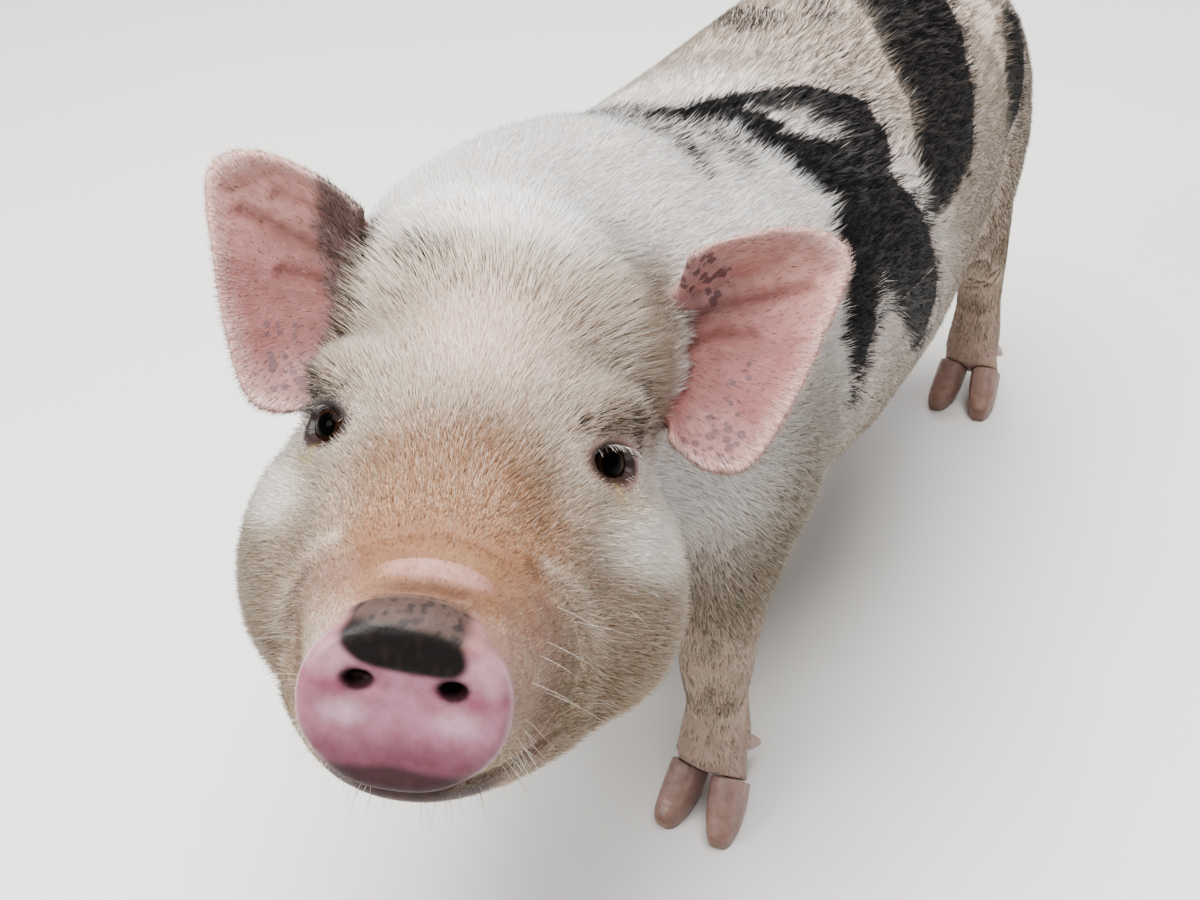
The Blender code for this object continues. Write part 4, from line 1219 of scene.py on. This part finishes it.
def corner_shares(spots, first, second, third):
    """How much each corner of a triangle counts at a spot on it."""
    along, aside, offset = second - first, third - first, spots - first
    length, slant, width = (along * along).sum(1), (along * aside).sum(1), (aside * aside).sum(1)
    ahead, across = (offset * along).sum(1), (offset * aside).sum(1)
    whole = np.maximum(length * width - slant * slant, 1e-18)
    two = (width * ahead - slant * across) / whole
    three = (length * across - slant * ahead) / whole
    return 1 - two - three, two, three


def unwrap_roots(skin, roots):
    """Each root's place on an unwrap of the skin, read from a coarse copy of it."""
    coarse = bpy.data.objects.new("skin_unwrap", skin.data.copy())
    bpy.context.scene.collection.objects.link(coarse)
    change = coarse.modifiers.new("thin", "DECIMATE")
    change.ratio = UNWRAP_TRIANGLES / len(read_triangles(coarse))
    apply_modifiers(coarse)
    bpy.ops.object.mode_set(mode="EDIT")
    bpy.ops.mesh.select_all(action="SELECT")
    bpy.ops.uv.smart_project(angle_limit=math.radians(66), island_margin=0.004)
    bpy.ops.object.mode_set(mode="OBJECT")
    mesh = coarse.data
    points = read_points(coarse)
    corners = [tuple(face.vertices) for face in mesh.polygons]
    tree = BVHTree.FromPolygons([Vector(point) for point in points], corners)
    flat = np.empty(len(mesh.loops) * 2, np.float32)
    mesh.uv_layers.active.data.foreach_get("uv", flat)
    flat = flat.reshape(-1, 2)
    starts = np.array([face.loop_start for face in mesh.polygons])
    triangle = np.array([face.vertices[:3] for face in mesh.polygons])
    hits = [tree.find_nearest(Vector(root)) for root in roots]
    faces = np.array([hit[2] for hit in hits])
    spots = np.array([hit[0][:] for hit in hits])
    shares = corner_shares(spots, *(points[triangle[faces, k]] for k in range(3)))
    bpy.data.objects.remove(coarse)
    return sum(flat[starts[faces] + k] * share[:, None] for k, share in enumerate(shares))


def scatter(skin, count, density, seed):
    """Random roots on the skin, more of them where the density is high, with what is stored there."""
    rng = np.random.default_rng(seed)
    points = read_points(skin)
    triangles = read_triangles(skin)
    first, second, third = (points[triangles[:, k]] for k in range(3))
    area = np.linalg.norm(np.cross(second - first, third - first), axis=1) / 2
    weight = area * density[triangles].mean(axis=1)
    steps = np.cumsum(weight) / weight.sum()
    chosen = np.searchsorted(steps, (np.arange(count) + rng.random(count)) / count)
    chosen = np.minimum(chosen, len(triangles) - 1)
    two, three = rng.random(count), rng.random(count)
    over = two + three > 1
    two[over], three[over] = 1 - two[over], 1 - three[over]
    shares = np.stack([1 - two - three, two, three], axis=1)
    corners = triangles[chosen]

    def read(values):
        if values.ndim == 1:
            return (values[corners] * shares).sum(axis=1)
        return (values[corners] * shares[:, :, None]).sum(axis=1)

    return read, rng


def tuft_mesh(name, roots, flows, normals, lengths, widths, lifts, tints, root_shades, places):
    """Three-sided tufts from root to tip, each one darker at its root by its own painted shade."""
    count = len(roots)
    across = unit(np.cross(flows, normals)) * widths[:, None] / 2
    above = normals * widths[:, None] * 0.45
    lift = lifts[:, None]
    rise = unit(flows * np.cos(lift) + normals * np.sin(lift))
    start = roots - normals * ROOT_DEPTH
    tip = start + rise * lengths[:, None]
    verts = np.stack([start - across, start + across, start + above, tip], axis=1)
    faces = np.array(((0, 2, 1), (0, 1, 3), (1, 2, 3), (2, 0, 3)))
    index = (np.arange(count)[:, None, None] * 4 + faces[None]).reshape(-1, 3)
    mesh = bpy.data.meshes.new(name)
    mesh.vertices.add(4 * count)
    mesh.vertices.foreach_set("co", verts.astype(np.float32).ravel())
    mesh.loops.add(index.size)
    mesh.loops.foreach_set("vertex_index", index.astype(np.int32).ravel())
    mesh.polygons.add(len(index))
    mesh.polygons.foreach_set("loop_start", np.arange(0, index.size, 3, dtype=np.int32))
    mesh.update(calc_edges=True)
    obj = bpy.data.objects.new(name, mesh)
    bpy.context.scene.collection.objects.link(obj)
    along = np.array((0.0, 0.0, 0.0, 1.0))
    aside = np.array((-1, 1, 0, 0))
    # Painted shade at each tuft's root, a little warmer there.
    fade = np.repeat(root_shades, 4) * (1 - np.tile(along, count)) + np.tile(along, count)
    store(obj, "hair_colour", np.repeat(tints, 4, axis=0) * fade[:, None] ** np.array((0.85, 1.0, 1.15)))
    store(obj, "along", np.tile(along, count))
    patch = np.stack([aside * PATCH_WIDTH, (along - 0.5) * PATCH_LENGTH], axis=1)
    set_bake_map(obj, (places[:, None] + patch[None]).reshape(-1, 2)[index.ravel()])
    dress(obj, bpy.data.materials.get("pig_hair") or hair_material())
    return obj


def tuft_tints(marks, rng):
    """Each tuft's colour, dark in the patches and mottled elsewhere, and how strong its contrast is."""
    count = len(marks["patch"])
    dark = smoothstep(marks["patch"] + rng.normal(0, 0.0022, count), -0.0016, 0.0016)
    dark = np.maximum(dark, marks["smoky"])
    black = rng.random(count) < dark
    tints = marks["hair_colour"]
    contrast = np.clip(0.12 + 1.3 * (0.82 - tints[:, 1]), 0.12, 0.60)
    tone = 1 + (0.04 + 0.12 * contrast[:, None]) * rng.normal(0, 1, (count, 1))
    tone = tone + rng.normal(0, 0.012, (count, 3))
    duller = rng.random(count) < 0.06 + 0.30 * contrast
    tone[duller] *= DULL_TUFT
    paler = rng.random(count) < 0.36 * contrast
    tints = np.where(paler[:, None], 0.55 * tints + 0.45 * np.array(PALE_TUFT), tints)
    tints = np.clip(tints * tone, 0.004, 0.95)
    coal = np.array(colours().black_hair) * rng.uniform(0.7, 1.6, (count, 1))
    brown = rng.random(count) < np.where(marks["patch"] < -0.002, 0.62, 0.30) * (marks["patch"] < 0.004)
    coal[brown] = BROWN_TUFT
    return np.where(black[:, None], coal, tints), contrast


def grow(skin, name, count, density, seed, lift, parts):
    """Grows one kind of tuft on the skin, in several pieces so that none is too large."""
    read, rng = scatter(skin, count, density, seed)
    roots = read(read_points(skin))
    normals = unit(read(read_normals(skin)))
    shares = region_shares(roots)
    marks = markings(roots, normals, shares)
    flows = hair_flow(roots, normals, shares)
    clump = np.stack([waves(roots, 620, seed + k) for k in range(3)], axis=1)
    flows = flows + 0.10 * clump + rng.normal(0, 0.10, (count, 3))
    flows = unit(flows - normals * np.sum(flows * normals, axis=1, keepdims=True))
    lengths = hair_length(roots, shares) * rng.uniform(0.65, 1.25, count)
    tints, contrast = tuft_tints(marks, rng)
    crown = crown_share(local(roots, head_frame())) * (shares["head"] > 0.2)
    lift = lift * (1 + 0.9 * np.maximum(shares["head"], shares["fine"]) + 1.6 * crown)
    widths = np.minimum(0.00015 + 0.030 * lengths, sizes().hair_width) * rng.uniform(0.75, 1.25, count)
    lifts = lift * rng.uniform(0.4, 1.6, count)
    places = unwrap_roots(skin, roots)
    order = np.argsort(places[:, 0])
    # One less the contrast is how deep the painted shade at each tuft's root is.
    values = (roots, flows, normals, lengths, widths, lifts, tints, 1 - contrast, places)
    return [
        tuft_mesh(f"{name}_{k + 1}", *(value[part] for value in values))
        for k, part in enumerate(np.array_split(order, parts))
    ]


def dress(obj, material):
    """Gives a piece its material and smooth shading."""
    obj.data.materials.append(material)
    obj.data.polygons.foreach_set("use_smooth", np.ones(len(obj.data.polygons), bool))


def settle(obj, body="root", replaces=()):
    """Hands a finished piece to the frame."""
    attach(obj, body)
    if replaces:
        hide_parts(*replaces)


def even_skin(skin):
    """Smooths the fused skin, much on the body and little where the lids, ears and mouth are fine."""
    points = read_points(skin)
    shares = region_shares(points)
    head = local(points, head_frame())
    fine = shares["ear"]
    for _, _, ring in lid_places(points):
        fine = np.maximum(fine, 1 - smoothstep(ring, 2.0, 3.5))
    for name, side in SIDES:
        reach, _, sheet, _ = ear_places(head, name, side)
        fine = np.maximum(fine, (reach < 1.1) & (np.abs(head[:, 1] - sheet) < 0.006))
    swing, over = mouth_height(head)
    mouth = (1 - smoothstep(np.abs(over), 0.004, 0.012)) * shares["head"] * (np.abs(swing) < 100)
    fine = np.maximum(fine, mouth)
    smooth(skin, 4, 1.0)
    smooth(skin, 14, 1 - fine)
    crown = smoothstep(head[:, 1], 0.010, 0.040)
    smooth(skin, 70, (1 - fine) * np.maximum(1 - shares["head"], crown) * (1 - shares["foot"]))
    smooth(skin, 60, (1 - fine) * crown_share(head), keep=0.0)
    smooth(skin, 10, shares["disc"])
    for _, side in SIDES:
        rim = oval(head, (side * 0.0122, -0.1085, -0.0500), (0.0095, 0.006, 0.0075), 0.3)
        smooth(skin, 24, 0.8 * rim)
    return shares


def sink_skin(skin, shares):
    """Lowers the skin by the coat's depth and thins it, most where the body is plain."""
    points = read_points(skin) - read_normals(skin) * coat_depth(shares)[:, None]
    points[:, 2] = np.maximum(points[:, 2], SOLE_HEIGHT)
    write_points(skin, points)
    keep = np.maximum(np.maximum(shares["head"], shares["ear"]), 0.6 * shares["foot"])
    thin(skin, SKIN_TRIANGLES, 0.85 - 0.80 * keep)


def refine_face(skin):
    """Gives the muzzle and lids finer faces, then opens the lids and folds the skin."""
    points = read_points(skin)
    head = local(points, head_frame())
    chosen = (head[:, 1] < -0.070) & (head[:, 2] > -0.11)
    for _, _, ring in lid_places(points):
        chosen |= ring < 2.6
    divide(skin, chosen[read_triangles(skin)].all(axis=1))
    write_points(skin, open_lids(read_points(skin)))
    smooth(skin, 2, np.where(local(read_points(skin), head_frame())[:, 1] < 0.10, 1.0, 0.0))
    shape_face(skin)


def mark_skin(skin):
    """Keeps the markings and the regions that the material and the coat need on the skin's points."""
    points = read_points(skin)
    shares = region_shares(points)
    for name, values in markings(points, read_normals(skin), shares).items():
        store(skin, name, values)
    store(skin, "comb", comb_places(points, shares))
    for name in ("head", "leg", "fine"):
        store(skin, "share_" + name, shares[name])


class PigSkin(bpy.types.Operator):
    """Fuses the flesh solids into one skin, evens it, folds it and lays the markings on it"""

    bl_idname = "pig.skin"
    bl_label = "Skin"

    def execute(self, context):
        bodies = [node_copy(name, SKIN_GROWTH) for name in FLESH]
        bodies += [lid_rim(name, side) for name, side in SIDES]
        skin = join(bodies, "skin")
        remesh(skin, sizes().grain)
        smooth(skin, 2, 1.0)
        shape_head(skin)
        sink_skin(skin, even_skin(skin))
        refine_face(skin)
        mark_skin(skin)
        dress(skin, skin_material())
        settle(skin, replaces=FLESH)
        print("skin triangles", len(read_triangles(skin)))
        return {"FINISHED"}


def eye_material():
    iris = colours().iris
    shader = Shader("pig_eye")
    rings = shader.ramp(
        shader.attribute("gaze"), (0.0, 0.001), (0.38, 0.001), (0.44, iris), (0.66, dimmed(iris, 0.5)),
        (0.74, (0.004, 0.002, 0.002)), (0.90, (0.12, 0.07, 0.05)),
    )
    fibres = shader.ramp(shader.noise(1800.0, 3.0), (0.3, 0.6), (0.7, 1.0))
    return shader.finish(shader.blend("MULTIPLY", 0.8, rings, fibres), 0.08, 0.018)


class PigEyes(bpy.types.Operator):
    """Makes the two wet eyes with their brown irises"""

    bl_idname = "pig.eyes"
    bl_label = "Eyes"

    def execute(self, context):
        material = eye_material()
        for name, side in SIDES:
            bpy.ops.object.select_all(action="DESELECT")
            bpy.ops.mesh.primitive_uv_sphere_add(
                segments=48, ring_count=32, radius=EYE_RADIUS, rotation=(math.pi / 2, 0, 0)
            )
            eye = bpy.context.active_object
            bpy.ops.object.transform_apply(location=False, rotation=True, scale=False)
            eye.name = f"eyeball_{name}"
            points = read_points(eye)
            axis = np.hypot(points[:, 0], points[:, 2])
            ahead = points[:, 1] < 0
            store(eye, "gaze", np.where(ahead, axis, EYE_RADIUS) / EYE_RADIUS)
            bulge = 0.0005 * np.exp(-((axis / 0.0052) ** 2)) * ahead
            points[:, 1] -= bulge
            write_points(eye, world(points, eye_frame(name, side)))
            dress(eye, material)
            settle(eye, replaces=(f"eye_{name}",))
        return {"FINISHED"}


def horn_material():
    shader = Shader("pig_horn")
    tone = shader.ramp(
        shader.attribute("tip"), (0.0, (0.36, 0.235, 0.205)), (0.55, colours().horn),
        (0.86, (0.27, 0.150, 0.120)), (1.0, (0.21, 0.11, 0.078)),
    )
    stain = shader.noise(220.0, 4.0)
    colour = shader.blend("MULTIPLY", 0.9, tone, shader.ramp(stain, (0.3, (0.66, 0.60, 0.55)), (0.7, 1.0)))
    shader.bump(shader.noise(1.0, 2.0, shader.scaled(shader.place, (90, 90, 1300))), 0.45, 0.0004)
    return shader.finish(colour, shader.ramp(stain, (0.3, 0.55), (0.7, 0.36)))


class PigHooves(bpy.types.Operator):
    """Rounds each foot's hooves and dewclaws and gives them their horn"""

    bl_idname = "pig.hooves"
    bl_label = "Hooves"

    def execute(self, context):
        material = horn_material()
        for limb in LIMBS:
            nodes = [f"{kind}_{limb}_{toe}" for kind in ("hoof", "dewclaw") for toe in ("inner", "outer")]
            horn = join([node_copy(node) for node in nodes], f"horn_{limb}")
            remesh(horn, HORN_GRAIN)
            smooth(horn, 10, 1.0, keep=0.5)
            points = read_points(horn)
            low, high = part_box(f"hoof_{limb}_outer")
            points[:, 2] = np.maximum(points[:, 2], 0.0)
            write_points(horn, points)
            store(horn, "tip", np.clip((high.y - points[:, 1]) / (high.y - low.y), 0, 1))
            dress(horn, material)
            settle(horn, replaces=nodes)
        return {"FINISHED"}


# Long hairs in the head's frame: middle, spread, lean, number on both sides, length and radius.
WHISKERS = (
    ((0.034, -0.068, -0.052), (0.004, 0.010, 0.012), (1.0, -0.15, -0.15), 14, 0.022, 0.00005),
    ((0.020, -0.082, -0.088), (0.010, 0.010, 0.004), (0.3, -0.4, -1.0), 50, 0.008, 0.00008),
    ((0.034, -0.070, -0.078), (0.003, 0.006, 0.004), (0.8, -0.2, -0.9), 50, 0.009, 0.00009),
    ((0.044, 0.004, 0.022), (0.008, 0.004, 0.003), (0.4, -0.5, 0.7), 36, 0.009, 0.00009),
    ((0.050, -0.016, -0.030), (0.006, 0.006, 0.006), (0.9, -0.3, -0.2), 16, 0.009, 0.00007),
)


def hair_piece(name, lines, radii, tints):
    """Separate long hairs, each a thin three-sided tube along a line of points that ends in a tip."""
    verts, faces, along, tint = [], [], [], []
    for line, radius, colour in zip(lines, radii, tints):
        first = len(verts)
        count = len(line)
        for k, point in enumerate(line):
            ahead = line[min(k + 1, count - 1)] - line[max(k - 1, 0)]
            side = unit(np.cross(ahead, (0.31, 0.52, 0.79)))
            up = unit(np.cross(side, ahead))
            size = radius * (1 - 0.85 * k / (count - 1))
            for turn in range(3):
                angle = 2 * math.pi * turn / 3
                verts.append(point + (side * math.cos(angle) + up * math.sin(angle)) * size)
                along.append(k / (count - 1))
                tint.append(colour)
        for k in range(count - 1):
            for turn in range(3):
                one, two = first + 3 * k + turn, first + 3 * k + (turn + 1) % 3
                faces.append((one, one + 3, two + 3, two))
        faces.append((first, first + 1, first + 2))
        last = first + 3 * (count - 1)
        faces.append((last, last + 2, last + 1))
    mesh = bpy.data.meshes.new(name)
    mesh.from_pydata(verts, [], faces)
    obj = bpy.data.objects.new(name, mesh)
    bpy.context.scene.collection.objects.link(obj)
    store(obj, "along", along)
    store(obj, "hair_colour", np.array(tint))
    places = unwrap_roots(bpy.data.objects["skin"], [line[0] for line in lines])
    owner = np.repeat(np.arange(len(lines)), [3 * len(line) for line in lines])
    aside = np.array((-1, 1, 0))[np.arange(len(verts)) % 3]
    patch = np.stack([aside * PATCH_WIDTH, (np.array(along) - 0.5) * PATCH_LENGTH], axis=1)
    corners = [corner for face in faces for corner in face]
    set_bake_map(obj, (places[owner] + patch)[corners])
    obj.data.materials.append(bpy.data.materials.get("pig_hair") or hair_material())
    return obj


# The upper and lower lashes of an eye: first and last angle, number, length, rise and droop.
LASH_ROWS = ((18, 162, 50, 0.0066, 0.05, (0, 0.1, -0.42)), (-150, -30, 16, 0.0030, -0.05, (0, 0.1, -0.3)))
LASH_RADIUS = 0.00010
LASH_COLOURS = ((0.62, 0.57, 0.52), (0.05, 0.04, 0.04))
WHISKER_COLOURS = ((0.80, 0.76, 0.66), (0.20, 0.15, 0.12))


def lashes(name, side, rng):
    """Lines, radii and tints of one eye's lashes, the upper ones longer than the lower ones."""
    lines, radii, tints = [], [], []
    steps = np.linspace(0, 1, 6)[:, None]
    rows = [
        (angle, *rest)
        for first, last, count, *rest in LASH_ROWS
        for angle in np.linspace(first, last, count)
    ]
    for angle, length, rise, droop in rows:
        turn = math.radians(angle + rng.normal(0, 1.8))
        x = LID_OPENING[0] * 1.06 * math.cos(turn)
        z = LID_OPENING[1] * 1.10 * math.sin(turn)
        y = -math.sqrt(max((LID_RADIUS + 0.0009) ** 2 - x * x - z * z, 1e-8))
        reach = length * rng.uniform(0.7, 1.15)
        out = unit(np.array((x * 60 + rng.normal(0, 0.15), -1.0, rise)))
        line = np.array((x, y, z)) + out * reach * steps + np.array(droop) * reach * steps**2
        lines.append(world(line, eye_frame(name, side)))
        radii.append(LASH_RADIUS)
        pale = rng.random() < (0.50 if side > 0 else 0.20)
        tints.append(LASH_COLOURS[0] if pale else LASH_COLOURS[1])
    return lines, radii, tints


def whiskers(skin, rng):
    """Lines, radii and tints of the whiskers and bristles, rooted on the skin."""
    points = [Vector(point) for point in read_points(skin)]
    tree = BVHTree.FromPolygons(points, [tuple(corners) for corners in read_triangles(skin)])
    place = head_frame()
    lines, radii, tints = [], [], []
    steps = np.linspace(0, 1, 8)[:, None]
    for middle, spread, lean, number, length, radius in WHISKERS:
        for k in range(number):
            side = 1 if k % 2 else -1
            spot = np.array(middle) + rng.normal(0, 1, 3) * spread
            direction = unit(np.array(lean) + rng.normal(0, 0.22, 3))
            spot, direction = (vector * (side, 1, 1) for vector in (spot, direction))
            root, normal, _, _ = tree.find_nearest(Vector(world(spot[None], place)[0]))
            direction = turned(direction[None], place)[0]
            direction = unit(direction + np.array(normal) * 0.4)
            reach = length * rng.uniform(0.55, 1.1)
            sag = np.array((0, 0, -0.25)) * reach * steps**2
            lines.append(np.array(root) + direction * reach * steps + sag)
            radii.append(radius)
            tints.append(WHISKER_COLOURS[0] if rng.random() < 0.85 else WHISKER_COLOURS[1])
    return lines, radii, tints


class PigLashes(bpy.types.Operator):
    """Sets the lashes along the lids, the whiskers, and the bristles of the brows and chin"""

    bl_idname = "pig.lashes"
    bl_label = "Lashes and whiskers"

    def execute(self, context):
        rng = np.random.default_rng(31)
        for name, side in SIDES:
            settle(hair_piece(f"lashes_{name}", *lashes(name, side, rng)))
        settle(hair_piece("whiskers", *whiskers(bpy.data.objects["skin"], rng)))
        return {"FINISHED"}


class PigCoat(bpy.types.Operator):
    """Grows the short coat over the head, body, legs and ears"""

    bl_idname = "pig.coat"
    bl_label = "Coat"

    def execute(self, context):
        size = sizes()
        skin = bpy.data.objects["skin"]
        hairy, fine, leg, head = (
            stored(skin, name) for name in ("hairy", "share_fine", "share_leg", "share_head")
        )
        short = smoothstep(fine, 0.0, 0.7) * hairy * (1 + 0.5 * head)
        long = (1 - smoothstep(fine, 0.25, 0.95)) * hairy * (1 + 0.6 * leg)
        share = 1.0
        pieces = grow(skin, "coat_long", int(size.long_tufts * share), long, 41, 0.11, 4)
        pieces += grow(skin, "coat_short", int(size.short_tufts * share), short, 43, 0.15, 4)
        for piece in pieces:
            settle(piece)
        return {"FINISHED"}


# Round soft lights: name, place, aim, width, power and colour.
LIGHTS = (
    ("key", (-0.05, -0.15, 2.2), (0.0, 0.0, 0.2), 2.0, 162, (1.0, 0.985, 0.965)),
    ("front", (-0.8, -1.4, 1.5), (0.0, -0.1, 0.2), 0.9, 25, (1.0, 0.98, 0.96)),
    ("back", (-0.7, 1.4, 1.8), (0.0, 0.0, 0.25), 1.2, 20, (0.96, 0.98, 1.0)),
    ("glint", (-0.42, -1.30, 1.45), (0.03, -0.20, 0.25), 0.12, 5.0, (1.0, 1.0, 1.0)),
)
SKY_COLOUR = (0.92, 0.96, 1.0, 1.0)
SKY_STRENGTH = 0.28
FLOOR_SIZE = 24.0
# The camera's place, its lens and the directions of its right side, its top and its back.
CAMERA_PLACE = (0.2608, -0.5083, 0.5520)
CAMERA_TURN = ((0.8737, 0.4824, -0.0629), (-0.2454, 0.5486, 0.7993), (0.4201, -0.6829, 0.5976))
CAMERA_LENS = 44.85


def studio_floor():
    bpy.ops.object.select_all(action="DESELECT")
    bpy.ops.mesh.primitive_plane_add(size=FLOOR_SIZE, location=(0, 0, 0))
    floor = bpy.context.active_object
    floor.name = "floor"
    shader = Shader("studio_floor")
    pale = colours().floor
    tone = shader.ramp(shader.noise(1.5, 2.0), (0.3, dimmed(pale, 0.96)), (0.7, pale))
    floor.data.materials.append(shader.finish(tone, 0.75))
    return floor


def studio_light(name, place, aim, size, power, colour):
    bpy.ops.object.light_add(type="AREA", location=place)
    light = bpy.context.active_object
    light.name = name
    light.data.shape = "DISK"
    light.data.size = size
    light.data.energy = power
    light.data.color = colour
    light.rotation_euler = (Vector(aim) - Vector(place)).to_track_quat("-Z", "Y").to_euler()


def studio_sky():
    sky = bpy.data.worlds.new("studio")
    bpy.context.scene.world = sky
    sky.use_nodes = True
    sky.node_tree.nodes["Background"].inputs["Color"].default_value = SKY_COLOUR
    sky.node_tree.nodes["Background"].inputs["Strength"].default_value = SKY_STRENGTH


def studio_camera():
    bpy.ops.object.camera_add()
    camera = bpy.context.active_object
    camera.name = "camera"
    turn = Matrix(CAMERA_TURN).transposed().to_4x4()
    camera.matrix_world = Matrix.Translation(CAMERA_PLACE) @ turn
    camera.data.sensor_width = 36.0
    camera.data.lens = CAMERA_LENS
    camera.data.clip_start = 0.01
    bpy.context.scene.camera = camera


class PigStudio(bpy.types.Operator):
    """Lays the pale floor and sets the soft lights and the camera"""

    bl_idname = "pig.studio"
    bl_label = "Studio"

    def execute(self, context):
        floor = studio_floor()
        for light in LIGHTS:
            studio_light(*light)
        studio_sky()
        studio_camera()
        return {"FINISHED"}


class PigPanel(bpy.types.Panel):
    """Lists the pig's pieces and their sizes and colours"""

    bl_idname = "VIEW3D_PT_pig"
    bl_label = "Pig"
    bl_space_type = "VIEW_3D"
    bl_region_type = "UI"
    bl_category = "Pig"

    def draw(self, context):
        for group in (context.scene.pig_sizes, context.scene.pig_colours):
            for name in group.__annotations__:
                self.layout.prop(group, name)
        for name in STEPS:
            self.layout.operator(f"pig.{name}")


STEPS = ("skin", "eyes", "hooves", "lashes", "coat", "studio")
CLASSES = (PigSizes, PigColours, PigSkin, PigEyes, PigHooves, PigLashes, PigCoat, PigStudio, PigPanel)


def register():
    for cls in CLASSES:
        bpy.utils.register_class(cls)
    bpy.types.Scene.pig_sizes = PointerProperty(type=PigSizes)
    bpy.types.Scene.pig_colours = PointerProperty(type=PigColours)


def unregister():
    del bpy.types.Scene.pig_colours
    del bpy.types.Scene.pig_sizes
    for cls in reversed(CLASSES):
        bpy.utils.unregister_class(cls)


def main():
    register()
    for name in STEPS:
        getattr(bpy.ops.pig, name)()


if __name__ == "__main__":
    main()
